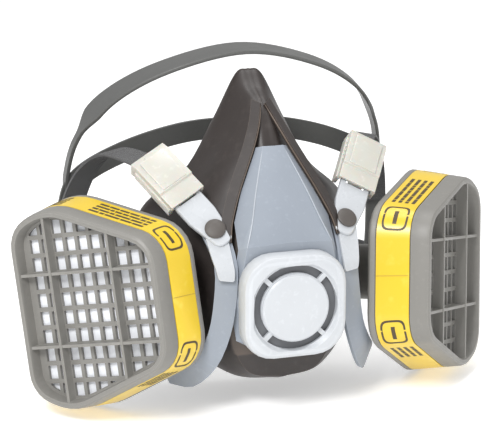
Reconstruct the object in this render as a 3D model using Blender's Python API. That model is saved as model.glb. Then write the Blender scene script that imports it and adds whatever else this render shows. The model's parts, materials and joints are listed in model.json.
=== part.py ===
"""Half-face respirator with two side cartridges, as an assembly of separate solids.

Metres, +Z up. The mask faces -Y, and +X is its left cheek as the wearer sees it.
The origin is the centre of the face seal, where the wearer's face holds the mask.
"""

import math

import bmesh
import bpy
from mathutils import Matrix, Vector

MM = 0.001

# Gaps between pieces
TOUCH_GAP = 0.3 * MM
RUNNING_GAP = 0.6 * MM

# Facepiece
RUBBER_THICKNESS = 2.6 * MM
POINTS_PER_SPAN = 4

# Exhalation valve, on the centre line below the nose
VALVE_HEIGHT = -25 * MM
COVER_FRONT = -75 * MM
COVER_DEPTH = 9 * MM
COVER_HALF_WIDTH = 25 * MM
COVER_CORNER_RADIUS = 15 * MM
COVER_RECESS_RADIUS = 20.6 * MM
COVER_SLOT_RADIUS = 20.3 * MM
COVER_DISC_RADIUS = 16.4 * MM
COVER_SPOKE_WIDTH = 2.2 * MM
SEAT_BORE = 12.5 * MM
SEAT_RADIUS = 16 * MM
FLAP_RADIUS = 14.5 * MM
FLAP_THICKNESS = 0.8 * MM
FLAP_HINGE = 0.91

# Cartridges
CARTRIDGE_CENTRE = Vector((89.5, -50.6, -23.5)) * MM
CARTRIDGE_SPLAY = math.radians(47.5)
CARTRIDGE_TILT = math.radians(5)
CARTRIDGE_ROLL = math.radians(12)
CARTRIDGE_DEPTH = 30 * MM
CARTRIDGE_FLARE = 4 * MM
BEZEL_DEPTH = 9 * MM
POCKET_DEPTH = 6.2 * MM
GRILLE_THICKNESS = 1.6 * MM
RIM_WIDTH = 3.2 * MM
LABEL_DEPTH = 16.5 * MM
LABEL_THICKNESS = 0.5 * MM
TUB_WALL = 2 * MM
RIB_SPACING = 34 * MM
RIB_WIDTH = 1.3 * MM
RIB_OFFSET = -5 * MM
RIB_TOP = -0.9 * MM
SLOT_PITCH = Vector((6.8, 8.5)) * MM
SLOT_SIZE = Vector((5.1, 6.5)) * MM
SLOT_COLUMNS = range(-4, 6)
SLOT_ROWS = range(-6, 6)
PORT_CENTRE = Vector((8, 0)) * MM
PORT_RADIUS = 13.5 * MM
PORT_BORE = 11.5 * MM
PORT_LENGTH = 22 * MM

# Strap arms, which turn on a rivet beside the nose
RIVET = Vector((32, -52.6, 9)) * MM
ARM_BAR = Vector((46.7, -34.4, 25.3)) * MM
ARM_BAR_DIRECTION = Vector((0.868, -0.219, -0.445))
ARM_WIDTH = 15 * MM
ARM_THICKNESS = 2.2 * MM
ARM_SLOT_WIDTH = 10 * MM
ARM_SLOT_HEIGHT = 2.8 * MM
ARM_SLOT_DISTANCE = 20.5 * MM
RIVET_HEAD_RADIUS = 4.9 * MM
RIVET_STEM_RADIUS = 1.9 * MM

# Buckles, which hang in the arms' slots
BUCKLE_WIDTH = 19 * MM
BUCKLE_LENGTH = 30 * MM
BUCKLE_WALL = 1.2 * MM
BUCKLE_STEP_FRONT = 3.4 * MM
BUCKLE_PAD_FRONT = 4.6 * MM
BUCKLE_BACK = -4.4 * MM
BUCKLE_BAR = 18 * MM
BUCKLE_LEAN = math.radians(2)

# Harness
BAND_THICKNESS = 1.8 * MM
REAR_BAND_WIDTH = 10.5 * MM
CROWN_BAND_WIDTH = 17 * MM
CROWN_LEG_WIDTH = 6.5 * MM
CROWN_LEG_END = 0.42
CROWN_WIDE_START = 0.54
CROWN_FLARE = 0.3
CROWN_TILT = 0.1
STRAP_WIDTH = 12 * MM
STRAP_THICKNESS = 1.4 * MM
NECK_HEIGHT = -38 * MM
CLASP_DEPTH = 76 * MM
HARNESS_PIVOT = Vector((0, -23.1, 29)) * MM
NECK_HINGE = Vector((-83, 38.2, -38)) * MM

MIRROR = Matrix.Scale(-1, 4, (1, 0, 0))


def clear_scene():
    for thing in list(bpy.data.objects):
        bpy.data.objects.remove(thing, do_unlink=True)


def make_material(name, colour, roughness, metallic=0.0):
    material = bpy.data.materials.new(name)
    material.use_nodes = True
    shader = material.node_tree.nodes["Principled BSDF"]
    shader.inputs["Base Color"].default_value = (*colour, 1.0)
    shader.inputs["Roughness"].default_value = roughness
    shader.inputs["Metallic"].default_value = metallic
    return material


def millimetres(points):
    return [Vector(point) * MM for point in points]


# ---------------------------------------------------------------- outlines


def rounded_outline(corners, steps=4):
    """Closed 2-D outline, anticlockwise, from (x, y, radius) corners."""
    outline = []
    count = len(corners)
    for index, (x, y, radius) in enumerate(corners):
        corner = Vector((x, y))
        before = Vector(corners[index - 1][:2]) - corner
        after = Vector(corners[(index + 1) % count][:2]) - corner
        half = before.angle(after) / 2
        centre = corner + (before.normalized() + after.normalized()).normalized() * radius / math.sin(half)
        start = corner + before.normalized() * radius / math.tan(half) - centre
        sweep = math.pi - 2 * half
        for step in range(steps + 1):
            turned = start.copy()
            turned.rotate(Matrix.Rotation(sweep * step / steps, 2))
            outline.append(centre + turned)
    return outline


def offset_outline(outline, distance):
    """Moves each point of a convex anticlockwise outline outwards."""
    moved = []
    count = len(outline)
    for index, point in enumerate(outline):
        along_in = (point - outline[index - 1]).normalized()
        along_out = (outline[(index + 1) % count] - point).normalized()
        normal = Vector((along_in.y + along_out.y, -along_in.x - along_out.x)).normalized()
        square = Vector((along_in.y, -along_in.x))
        moved.append(point + normal * distance / max(normal.dot(square), 0.5))
    return moved


def circle_like(outline, radius, centre=Vector((0, 0))):
    """Circle with one point in the direction of each outline point."""
    return [centre + (point - centre).normalized() * radius for point in outline]


def circle(radius, steps):
    angles = [2 * math.pi * step / steps for step in range(steps)]
    return [Vector((math.cos(angle), math.sin(angle))) * radius for angle in angles]


def smooth_path(points, per_span=POINTS_PER_SPAN):
    """Points along a Catmull-Rom curve through the given points."""
    padded = [2 * points[0] - points[1], *points, 2 * points[-1] - points[-2]]
    path = []
    for a, b, c, d in zip(padded, padded[1:], padded[2:], padded[3:]):
        for step in range(per_span):
            t = step / per_span
            bend = (2 * a - 5 * b + 4 * c - d) * t**2 + (3 * b - a - 3 * c + d) * t**3
            path.append(0.5 * (2 * b + (c - a) * t + bend))
    path.append(points[-1].copy())
    return path


# ---------------------------------------------------------------- solids


def mesh_from(name, points, faces):
    mesh = bpy.data.meshes.new(name)
    mesh.from_pydata([tuple(point) for point in points], [], faces)
    edit = bmesh.new()
    edit.from_mesh(mesh)
    bmesh.ops.recalc_face_normals(edit, faces=edit.faces)
    edit.to_mesh(mesh)
    edit.free()
    return mesh


def loops_mesh(name, loops, closed=False):
    """Closed solid skinned over 3-D loops of equal length.

    It is capped at both ends, or runs back to the first loop when closed.
    """
    size = len(loops[0])
    points = [point for loop in loops for point in loop]
    faces = []
    last = len(loops) if closed else len(loops) - 1
    for row in range(last):
        low = row * size
        high = ((row + 1) % len(loops)) * size
        for index in range(size):
            after = (index + 1) % size
            faces.append((low + index, low + after, high + after, high + index))
    if not closed:
        faces.append(tuple(range(size)))
        faces.append(tuple((len(loops) - 1) * size + index for index in range(size)))
    return mesh_from(name, points, faces)


def mirrored_loops_mesh(name, loops):
    """Solid over loops that are each symmetric about X = 0, capped by strips from side to side."""
    size = len(loops[0])
    half = size // 2
    points = [point for loop in loops for point in loop]
    faces = []
    for row in range(len(loops) - 1):
        low = row * size
        high = low + size
        for index in range(size):
            after = (index + 1) % size
            faces.append((low + index, low + after, high + after, high + index))
    for base in (0, (len(loops) - 1) * size):
        for index in range(half):
            strip = [index, index + 1, (size - index - 1) % size, (size - index) % size]
            faces.append(tuple(base + corner for corner in dict.fromkeys(strip)))
    return mesh_from(name, points, faces)


def stack_mesh(name, levels, closed=False):
    """Solid skinned over (2-D outline, height) levels."""
    loops = [[Vector((point.x, point.y, height)) for point in outline] for outline, height in levels]
    return loops_mesh(name, loops, closed)


def turned_mesh(name, profile, steps=32):
    """Solid of revolution about Z from a closed (radius, height) profile off the axis."""
    return stack_mesh(name, [(circle(radius, steps), height) for radius, height in profile], closed=True)


def disc_mesh(name, profile, steps=32):
    """Solid of revolution about Z whose first and last profile points are flat caps."""
    return stack_mesh(name, [(circle(radius, steps), height) for radius, height in profile])


def box_mesh(name, low, high):
    corners = [(low[0], low[1]), (high[0], low[1]), (high[0], high[1]), (low[0], high[1])]
    outline = [Vector(corner) for corner in corners]
    return stack_mesh(name, [(outline, low[2]), (outline, high[2])])


def ribbon_mesh(name, path, across, thickness):
    """Flat band along a path, with a full width vector at each point."""
    loops = []
    for index, centre in enumerate(path):
        along = path[min(index + 1, len(path) - 1)] - path[max(index - 1, 0)]
        half_width = across[index] / 2
        half_depth = along.cross(half_width).normalized() * thickness / 2
        loops.append(
            [
                centre - half_width - half_depth,
                centre + half_width - half_depth,
                centre + half_width + half_depth,
                centre - half_width + half_depth,
            ]
        )
    return loops_mesh(name, loops)


def merge_meshes(name, meshes):
    edit = bmesh.new()
    for mesh in meshes:
        edit.from_mesh(mesh)
    merged = bpy.data.meshes.new(name)
    edit.to_mesh(merged)
    edit.free()
    return merged


def triangulated(mesh):
    """Copy with flat faces only, which the Boolean needs on twisted quads."""
    edit = bmesh.new()
    edit.from_mesh(mesh)
    bmesh.ops.triangulate(edit, faces=edit.faces)
    flat = bpy.data.meshes.new(mesh.name)
    edit.to_mesh(flat)
    edit.free()
    return flat


def tidied(mesh):
    """Joins the flat faces that Booleans have split."""
    edit = bmesh.new()
    edit.from_mesh(mesh)
    limit = math.radians(0.2)
    bmesh.ops.dissolve_limit(edit, angle_limit=limit, verts=edit.verts, edges=edit.edges)
    edit.to_mesh(mesh)
    edit.free()
    return mesh


def combine(base, other, operation):
    """Boolean of two meshes, as a new mesh."""
    body = bpy.data.objects.new("boolean_body", triangulated(base))
    tool = bpy.data.objects.new("boolean_tool", triangulated(other))
    for thing in (body, tool):
        bpy.context.scene.collection.objects.link(thing)
    modifier = body.modifiers.new("combine", "BOOLEAN")
    modifier.operation = operation
    modifier.object = tool
    graph = bpy.context.evaluated_depsgraph_get()
    result = bpy.data.meshes.new_from_object(body.evaluated_get(graph))
    for thing in (body, tool):
        bpy.data.objects.remove(thing, do_unlink=True)
    return result


def cut(base, other):
    return combine(base, other, "DIFFERENCE")


def join(base, other):
    return combine(base, other, "UNION")


def moved(mesh, matrix):
    mesh.transform(matrix)
    return mesh


# ---------------------------------------------------------------- placing


def add_piece(name, mesh, material, matrix=None, parent=None):
    """Puts a named object in the scene. The matrix is its place in the world."""
    mesh.name = name
    mesh.materials.clear()
    mesh.materials.append(material)
    mesh.shade_smooth()
    mesh.set_sharp_from_angle(angle=math.radians(35))
    piece = bpy.data.objects.new(name, mesh)
    bpy.context.scene.collection.objects.link(piece)
    if parent is not None:
        bpy.context.view_layer.update()
        piece.parent = parent
        piece.matrix_parent_inverse = parent.matrix_world.inverted()
    piece.matrix_world = matrix or Matrix.Identity(4)
    return piece


def add_pair(name, mesh, material, matrix, parents=(None, None)):
    """The wearer's-left piece, and its mirror image on the other side."""
    first = add_piece(f"{name}_left", mesh, material, matrix, parents[0])
    twin_mesh = mesh.copy()
    twin_mesh.transform(MIRROR)
    twin_mesh.flip_normals()
    second = add_piece(f"{name}_right", twin_mesh, material, MIRROR @ matrix @ MIRROR, parents[1])
    return first, second


def frame_from(origin, x_axis, z_axis):
    """Matrix of a frame at origin, with its Z kept and its X squared up to it."""
    z_axis = z_axis.normalized()
    y_axis = z_axis.cross(x_axis).normalized()
    x_axis = y_axis.cross(z_axis)
    rotation = Matrix((x_axis, y_axis, z_axis)).transposed().to_4x4()
    return Matrix.Translation(origin) @ rotation


def cartridge_frame():
    """Z out of the grille, X towards the mouth, Y down the cartridge."""
    outward = Vector((0, -1, 0))
    outward.rotate(Matrix.Rotation(CARTRIDGE_SPLAY, 3, "Z"))
    inward = Vector((0, 0, 1)).cross(outward).normalized() * -1
    outward.rotate(Matrix.Rotation(CARTRIDGE_TILT, 3, inward))
    inward.rotate(Matrix.Rotation(-CARTRIDGE_ROLL, 3, outward))
    return frame_from(CARTRIDGE_CENTRE, inward, outward)


def arm_frame():
    """Origin at the rivet, Y up the arm, Z out of its front face."""
    along = (ARM_BAR - RIVET).normalized()
    outward = ARM_BAR_DIRECTION.cross(along)
    return frame_from(RIVET, ARM_BAR_DIRECTION, outward)


# ---------------------------------------------------------------- facepiece


def facepiece_rings():
    """Half outlines from the nose to the chin, front wall first, then the seal."""
    front = [(0, -39, 40), (4, -41.5, 36), (8, -45, 26), (14, -48, 17), (21, -51, 8)]
    front += [(24, -60, -22), (25, -57.5, -43), (17, -57, -60), (0, -57, -64)]
    middle = [(0, -26, 59), (4.5, -27.5, 56), (13, -29.5, 40), (22, -33, 25), (31, -37, 10)]
    middle += [(41, -37, -22), (37, -42, -47), (22, -44, -64.5), (0, -44, -68.5)]
    rear = [(0, -12, 67), (6.5, -12.5, 64.5), (16.5, -13, 46), (28, -13.5, 28), (43, -14, 11)]
    rear += [(51, -14, -20), (49, -17, -46), (27, -21, -64), (0, -23, -69.5)]
    edge = [(0, -3, 74), (6.5, -3, 71.5), (17.5, -2, 50), (31, 0, 26), (51, 6, 7)]
    edge += [(56.5, 10, -17), (52, 6, -42), (29, -4, -62), (0, -8, -68)]
    seal = [(0, -6, 63), (4, -6, 61), (12, -5, 43), (23, -2, 25), (37, 0, 8)]
    seal += [(44, 6, -17), (40, 2, -37), (23, -7, -53), (0, -12, -59)]
    return [smooth_path(millimetres(ring)) for ring in (front, middle, rear, edge, seal)]


def whole_ring(half):
    """Closes a half outline with its mirror image."""
    return half + [Vector((-point.x, point.y, point.z)) for point in reversed(half[1:-1])]


def shrunk(half, distance, backwards):
    """Half outline moved towards the middle of the mask, and back."""
    middle = Vector((0, 0, -5 * MM))
    moved_points = []
    for point in half:
        inward = Vector((middle.x - point.x, 0, middle.z - point.z)).normalized() * distance
        inward.x = max(inward.x, -point.x)
        moved_points.append(point + inward + Vector((0, backwards, 0)))
    return moved_points


def port_axis_matrix():
    """Frame of the cartridge, moved to the air port at the back of its tub."""
    return cartridge_frame() @ Matrix.Translation((PORT_CENTRE.x, PORT_CENTRE.y, -CARTRIDGE_DEPTH))


def facepiece_mesh():
    front, middle, rear, edge, seal = facepiece_rings()
    loops = [
        whole_ring(shrunk(front, RUBBER_THICKNESS, RUBBER_THICKNESS)),
        whole_ring(shrunk(middle, RUBBER_THICKNESS, 0.4 * RUBBER_THICKNESS)),
        whole_ring(shrunk(rear, RUBBER_THICKNESS, 0)),
        whole_ring(shrunk(edge, RUBBER_THICKNESS, -RUBBER_THICKNESS)),
        whole_ring(seal),
        whole_ring([point + Vector((0, 1.2 * MM, 0)) for point in seal]),
        whole_ring(edge),
        whole_ring(rear),
        whole_ring(middle),
        whole_ring(front),
    ]
    body = mirrored_loops_mesh("facepiece", loops)
    valve_tool = disc_mesh("valve_tool", [(SEAT_BORE + 1.2 * MM, -15 * MM), (SEAT_BORE + 1.2 * MM, 30 * MM)])
    to_front = Matrix.Translation((0, -50 * MM, VALVE_HEIGHT)) @ Matrix.Rotation(math.pi / 2, 4, "X")
    body = cut(body, moved(valve_tool, to_front))
    port_radius = PORT_RADIUS + RUNNING_GAP
    for mirror in (Matrix.Identity(4), MIRROR):
        port_tool = disc_mesh("port_tool", [(port_radius, -30 * MM), (port_radius, 2 * MM)])
        moved(port_tool, mirror @ port_axis_matrix())
        if mirror == MIRROR:
            port_tool.flip_normals()
        body = cut(body, port_tool)
    return body


# ---------------------------------------------------------------- front shell


def nose_shell_mesh():
    """Faceted nose and valve housing: rows from the nose down, from centre to edge."""
    rows = [
        [(0, -41, 44), (5, -40.5, 44), (7.5, -38, 43)],
        [(0, -53, 27), (12, -52, 26), (17.5, -46.5, 24.5)],
        [(0, -61, 14), (16.5, -60, 13), (23, -53.5, 12)],
        [(0, -65.7, 4), (20.5, -65.2, 3), (23.5, -61, 1)],
        [(0, -65.7, -22), (25, -65.7, -22), (28, -62.5, -22)],
        [(0, -65.7, -44), (21, -65.7, -42), (25, -62.5, -42)],
        [(0, -64, -51), (12, -63.5, -49), (15, -61.5, -48)],
    ]
    thickness = 2.2 * MM
    loops = []
    for row in (millimetres(row) for row in rows):
        mirrored = [Vector((-point.x, point.y, point.z)) for point in reversed(row[1:])]
        outer = mirrored + row
        inner = []
        for point in reversed(outer):
            inner.append(Vector((point.x * 0.92, point.y + thickness, point.z - 0.3 * thickness)))
        loops.append(outer + inner)
    return loops_mesh("nose_shell", loops)


def strut_mesh():
    """Arm boss and strut beside the valve housing, which sweeps back below the cartridge as a wing."""
    normal = arm_frame().col[2].to_3d()
    boss = RIVET - normal * (ARM_THICKNESS / 2 + RUNNING_GAP + 1.5 * MM)
    path = [boss + Vector((1, 7, 6)) * MM, boss]
    path += millimetres([(29.5, -61, -6), (30.5, -63, -22), (33, -62, -38)])
    path += millimetres([(38, -58.5, -51), (44.5, -49, -60.5), (50, -36, -66)])
    strut_across = Vector((0.93, 0.3, 0.05))
    across = [strut_across * width * MM for width in (11, 13, 11, 10.5, 10.5)]
    across += millimetres([(8.5, 2.8, 7), (6, 2, 11.5), (2, 0.6, 5)])
    return ribbon_mesh("strut", smooth_path(path, 3), smooth_path(across, 3), 2.4 * MM)


def bridge_mesh():
    """Cross member behind the valve housing that carries both struts."""
    path = millimetres([(-33, -60, -20), (-18, -63.6, -20), (18, -63.6, -20), (33, -60, -20)])
    across = [Vector((0, 0, 9)) * MM] * len(path)
    return ribbon_mesh("bridge", path, across, 1.8 * MM)


def front_shell_mesh():
    shell = nose_shell_mesh()
    for mirror in (Matrix.Identity(4), MIRROR):
        strut = moved(strut_mesh(), mirror)
        if mirror == MIRROR:
            strut.flip_normals()
        shell = join(shell, strut)
    shell = join(shell, bridge_mesh())
    opening = disc_mesh("opening", [(SEAT_RADIUS + TOUCH_GAP, -20 * MM), (SEAT_RADIUS + TOUCH_GAP, 20 * MM)])
    to_front = Matrix.Translation((0, -64 * MM, VALVE_HEIGHT)) @ Matrix.Rotation(math.pi / 2, 4, "X")
    shell = cut(shell, moved(opening, to_front))
    hole_radius = RIVET_STEM_RADIUS + TOUCH_GAP
    for mirror in (Matrix.Identity(4), MIRROR):
        hole = disc_mesh("hole", [(hole_radius, -12 * MM), (hole_radius, 6 * MM)], 16)
        moved(hole, mirror @ arm_frame())
        if mirror == MIRROR:
            hole.flip_normals()
        shell = cut(shell, hole)
    return shell


# ---------------------------------------------------------------- exhalation valve


def valve_frame(depth):
    """Z out of the mask's front, at the given depth behind the cover's face."""
    turn = Matrix.Rotation(math.pi / 2, 4, "X")
    return Matrix.Translation((0, COVER_FRONT + depth, VALVE_HEIGHT)) @ turn


def valve_seat_mesh():
    """Flanged ring with a cross bar that the flap closes on."""
    profile = [
        (SEAT_BORE, -11 * MM),
        (SEAT_BORE, -1 * MM),
        (SEAT_BORE + 0.6 * MM, 0),
        (SEAT_RADIUS, 0),
        (SEAT_RADIUS, -2.4 * MM),
        (SEAT_BORE + 0.9 * MM, -2.4 * MM),
        (SEAT_BORE + 0.9 * MM, -11 * MM),
    ]
    seat = turned_mesh("seat", profile)
    reach = SEAT_BORE + 0.4 * MM
    for turn in (0, math.pi / 2):
        bar = box_mesh("bar", (-reach, -0.9 * MM, -4 * MM), (reach, 0.9 * MM, -1.6 * MM))
        seat = join(seat, moved(bar, Matrix.Rotation(turn, 4, "Z")))
    return seat


def flap_mesh(radius):
    """Thin round flap with a thicker hinge bead across its top."""
    disc = disc_mesh("flap", [(radius, 0), (radius, FLAP_THICKNESS)])
    bead_low = (-0.35 * radius, (FLAP_HINGE - 0.05) * radius, 0)
    bead_high = (0.35 * radius, (FLAP_HINGE + 0.05) * radius, 1.8 * FLAP_THICKNESS)
    return join(disc, box_mesh("bead", bead_low, bead_high))


def cover_outline():
    half = COVER_HALF_WIDTH
    bottom = -half + 1 * MM
    places = [(-half, bottom), (half, bottom), (half, half), (-half, half)]
    return rounded_outline([(x, y, COVER_CORNER_RADIUS) for x, y in places], 6)


def valve_cover_mesh():
    """Rounded square cap with a round recess, a ring of slots and a plain middle disc."""
    outline = cover_outline()
    wall = 2 * MM
    recess = 2 * MM
    plate = 1.8 * MM
    levels = [
        (offset_outline(outline, -wall), -recess - plate),
        (offset_outline(outline, -wall), -COVER_DEPTH),
        (outline, -COVER_DEPTH),
        (outline, -2.6 * MM),
        (offset_outline(outline, -0.7 * MM), -0.9 * MM),
        (offset_outline(outline, -2.2 * MM), 0),
        (circle_like(outline, COVER_RECESS_RADIUS + 1.4 * MM), 0),
        (circle_like(outline, COVER_RECESS_RADIUS), -recess),
    ]
    body = stack_mesh("cover", levels)
    slot_profile = [
        (COVER_DISC_RADIUS, -7 * MM),
        (COVER_SLOT_RADIUS, -7 * MM),
        (COVER_SLOT_RADIUS, 1 * MM),
        (COVER_DISC_RADIUS, 1 * MM),
    ]
    slots = turned_mesh("slots", slot_profile, 48)
    reach = COVER_SLOT_RADIUS + 2 * MM
    for quarter in range(2):
        half = COVER_SPOKE_WIDTH / 2
        spoke = box_mesh("spoke", (-reach, -half, -8 * MM), (reach, half, 2 * MM))
        slots = cut(slots, moved(spoke, Matrix.Rotation(math.radians(45 + 90 * quarter), 4, "Z")))
    body = cut(body, slots)
    boss_radius = COVER_DISC_RADIUS - 0.25 * MM
    boss_top = (boss_radius - 0.8 * MM, -0.3 * MM)
    boss = disc_mesh("boss", [(boss_radius, -recess - 1 * MM), (boss_radius, -0.9 * MM), boss_top], 48)
    return join(body, boss)


# ---------------------------------------------------------------- cartridges


def cartridge_outline(grow=0.0):
    """Rounded six-sided outline, tall on its outer side and shorter on its inner side."""
    corners = [
        (-42 * MM, -39 * MM, 15 * MM),
        (-20 * MM, -48.5 * MM, 28 * MM),
        (36 * MM, -28 * MM, 15 * MM),
        (36 * MM, 28 * MM, 15 * MM),
        (-20 * MM, 48.5 * MM, 28 * MM),
        (-42 * MM, 39 * MM, 15 * MM),
    ]
    return offset_outline(rounded_outline(corners, 5), grow)


def outline_at(depth, inset=0.0):
    """The cartridge's flared outline at a depth behind its rim."""
    return cartridge_outline(CARTRIDGE_FLARE * depth / CARTRIDGE_DEPTH - inset)


def grille_slots_mesh(pocket):
    """Slots between the ribs, trimmed to the pocket."""
    boxes = []
    for column in SLOT_COLUMNS:
        x = RIB_OFFSET + column * SLOT_PITCH.x
        for row in SLOT_ROWS:
            y = (row + 0.5) * SLOT_PITCH.y
            low = (x - SLOT_SIZE.x / 2, y - SLOT_SIZE.y / 2, -POCKET_DEPTH - 3 * MM)
            high = (x + SLOT_SIZE.x / 2, y + SLOT_SIZE.y / 2, -POCKET_DEPTH + 1.5 * MM)
            boxes.append(box_mesh("slot", low, high))
    trimmed = offset_outline(pocket, -1.6 * MM)
    levels = [(trimmed, -POCKET_DEPTH - 2.5 * MM), (trimmed, -POCKET_DEPTH + 1 * MM)]
    block = stack_mesh("block", levels)
    return tidied(combine(merge_meshes("slots", boxes), block, "INTERSECT"))


def cartridge_cover_mesh():
    """Bezel and grille: a rim, a deep pocket, slots in its floor and tall cross ribs."""
    pocket = cartridge_outline(-RIM_WIDTH)
    floor = -POCKET_DEPTH
    back = -POCKET_DEPTH - GRILLE_THICKNESS
    levels = [
        (offset_outline(pocket, -0.5 * MM), floor),
        (pocket, -1 * MM),
        (offset_outline(pocket, 0.5 * MM), 0),
        (cartridge_outline(-1.1 * MM), 0),
        (cartridge_outline(-0.2 * MM), -0.7 * MM),
        (outline_at(1.8 * MM), -1.8 * MM),
        (outline_at(BEZEL_DEPTH), -BEZEL_DEPTH),
        (outline_at(BEZEL_DEPTH, TUB_WALL), -BEZEL_DEPTH),
        (outline_at(-back, TUB_WALL), back),
    ]
    body = stack_mesh("cover", levels)
    body = tidied(cut(body, grille_slots_mesh(pocket)))
    reach = 60 * MM
    root = floor - 0.6 * MM
    cross_top = RIB_TOP - 0.4 * MM
    ribs = []
    for side in (-0.5, 0.5):
        x = RIB_OFFSET + side * RIB_SPACING
        y = side * RIB_SPACING
        half = RIB_WIDTH / 2
        ribs.append(box_mesh("rib", (x - half, -reach, root), (x + half, reach, RIB_TOP)))
        ribs.append(box_mesh("rib", (-reach, y - half, root), (reach, y + half, cross_top)))
    lattice = join(ribs[0], ribs[2])
    for rib in (ribs[1], ribs[3]):
        lattice = join(lattice, rib)
    block_outline = offset_outline(pocket, 0.4 * MM)
    block = stack_mesh("block", [(block_outline, floor - 2 * MM), (block_outline, 1 * MM)])
    ribs = tidied(combine(lattice, block, "INTERSECT"))
    return tidied(join(body, ribs))


def cartridge_tub_mesh():
    """Tub behind the bezel, recessed for the label and open round the air port."""
    front = BEZEL_DEPTH + TOUCH_GAP
    label_end = front + LABEL_DEPTH
    recess = LABEL_THICKNESS + TOUCH_GAP
    inner_back = CARTRIDGE_DEPTH - TUB_WALL
    mouth = circle_like(cartridge_outline(), PORT_BORE, PORT_CENTRE)
    levels = [
        (outline_at(inner_back, recess + TUB_WALL), -inner_back),
        (outline_at(front, recess + TUB_WALL), -front),
        (outline_at(front, recess), -front),
        (outline_at(label_end, recess), -label_end),
        (outline_at(label_end), -label_end - 0.2 * MM),
        (outline_at(CARTRIDGE_DEPTH - 1.5 * MM), -CARTRIDGE_DEPTH + 1.5 * MM),
        (outline_at(CARTRIDGE_DEPTH, 2 * MM), -CARTRIDGE_DEPTH),
        (mouth, -CARTRIDGE_DEPTH),
        (mouth, -inner_back),
    ]
    return stack_mesh("tub", levels, closed=True)


def label_mesh():
    """Printed band wrapped once round the tub."""
    front = BEZEL_DEPTH + 2 * TOUCH_GAP
    back = BEZEL_DEPTH + LABEL_DEPTH
    inner = LABEL_THICKNESS
    levels = [
        (outline_at(front, inner), -front),
        (outline_at(front), -front),
        (outline_at(back), -back),
        (outline_at(back, inner), -back),
    ]
    return stack_mesh("label", levels, closed=True)


def filling_mesh(front, back):
    """Slab that fills the tub between two depths."""
    clearance = LABEL_THICKNESS + TUB_WALL + 3 * TOUCH_GAP
    levels = [(outline_at(back, clearance), -back), (outline_at(front, clearance), -front)]
    return stack_mesh("filling", levels)


def air_port_mesh():
    """Flanged tube that leads the filtered air into the facepiece."""
    profile = [
        (PORT_BORE, -PORT_LENGTH),
        (PORT_BORE, -TOUCH_GAP),
        (PORT_RADIUS + 2.5 * MM, -TOUCH_GAP),
        (PORT_RADIUS + 2.5 * MM, -2 * MM),
        (PORT_RADIUS, -2 * MM),
        (PORT_RADIUS, -PORT_LENGTH),
    ]
    return turned_mesh("port", profile)


def inhalation_flap_frame():
    """Z into the mask, at the inner end of the air port, hinge side up."""
    to_end = Matrix.Translation((0, 0, -PORT_LENGTH - TOUCH_GAP)) @ Matrix.Rotation(math.pi, 4, "X")
    return port_axis_matrix() @ to_end


def add_cartridges(materials):
    frame = cartridge_frame()
    pad_front = POCKET_DEPTH + GRILLE_THICKNESS + TOUCH_GAP
    add_pair("cartridge_cover", cartridge_cover_mesh(), materials["cartridge"], frame)
    add_pair("cartridge_tub", cartridge_tub_mesh(), materials["cartridge"], frame)
    add_pair("cartridge_label", label_mesh(), materials["label"], frame)
    pad_outline = outline_at(pad_front, TUB_WALL + 2 * TOUCH_GAP)
    pad_back = BEZEL_DEPTH
    pad = stack_mesh("pad", [(pad_outline, -pad_back), (pad_outline, -pad_front)])
    add_pair("filter_pad", pad, materials["pad"], frame)
    bed = filling_mesh(BEZEL_DEPTH + 2 * TOUCH_GAP, 25 * MM)
    add_pair("carbon_bed", bed, materials["carbon"], frame)
    add_pair("retaining_screen", filling_mesh(25.4 * MM, 26.4 * MM), materials["pad"], frame)
    add_pair("air_port", air_port_mesh(), materials["cartridge"], port_axis_matrix())
    radius = PORT_RADIUS - 0.6 * MM
    place = inhalation_flap_frame()
    pivots = pivot_empties("inhalation_flap", place @ Matrix.Translation((0, FLAP_HINGE * radius, 0)))
    add_pair("inhalation_flap", flap_mesh(radius), materials["flap"], place, pivots)


# ---------------------------------------------------------------- arms and buckles


def arm_mesh():
    """White plate, round at the rivet, with a slot below its top bar."""
    length = (ARM_BAR - RIVET).length
    half = ARM_WIDTH / 2
    top = length + 2.2 * MM
    corners = [
        (-4.5 * MM, -8.5 * MM, 4 * MM),
        (4.5 * MM, -8.5 * MM, 4 * MM),
        (half, 9 * MM, 12 * MM),
        (half, top, 2.2 * MM),
        (-half, top, 2.2 * MM),
        (-half, 9 * MM, 12 * MM),
    ]
    outline = rounded_outline(corners, 4)
    low = -ARM_THICKNESS / 2
    high = ARM_THICKNESS / 2
    edge = 0.5 * MM
    levels = [(outline, low), (outline, high - edge), (offset_outline(outline, -edge), high)]
    plate = stack_mesh("arm", levels)
    slot_low = (-ARM_SLOT_WIDTH / 2, ARM_SLOT_DISTANCE - ARM_SLOT_HEIGHT / 2, -5 * MM)
    slot_high = (ARM_SLOT_WIDTH / 2, ARM_SLOT_DISTANCE + ARM_SLOT_HEIGHT / 2, 5 * MM)
    plate = cut(plate, box_mesh("slot", slot_low, slot_high))
    bar_low = (-half + 0.6 * MM, length - 1.8 * MM, 0)
    bar_high = (half - 0.6 * MM, length + 1.8 * MM, high + 0.3 * MM)
    plate = join(plate, box_mesh("bar", bar_low, bar_high))
    bore_radius = RIVET_STEM_RADIUS + 0.05 * MM
    bore = disc_mesh("bore", [(bore_radius, -5 * MM), (bore_radius, 5 * MM)], 24)
    return cut(plate, bore)


def rivet_mesh():
    """Domed head over the arm, with a stem into the shell."""
    head = ARM_THICKNESS / 2 + TOUCH_GAP
    profile = [
        (RIVET_STEM_RADIUS, -ARM_THICKNESS / 2 - 3.4 * MM),
        (RIVET_STEM_RADIUS, head),
        (RIVET_HEAD_RADIUS, head),
        (RIVET_HEAD_RADIUS, head + 0.7 * MM),
        (RIVET_HEAD_RADIUS * 0.72, head + 1.3 * MM),
        (RIVET_HEAD_RADIUS * 0.3, head + 1.5 * MM),
    ]
    return disc_mesh("rivet", profile, 24)


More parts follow.
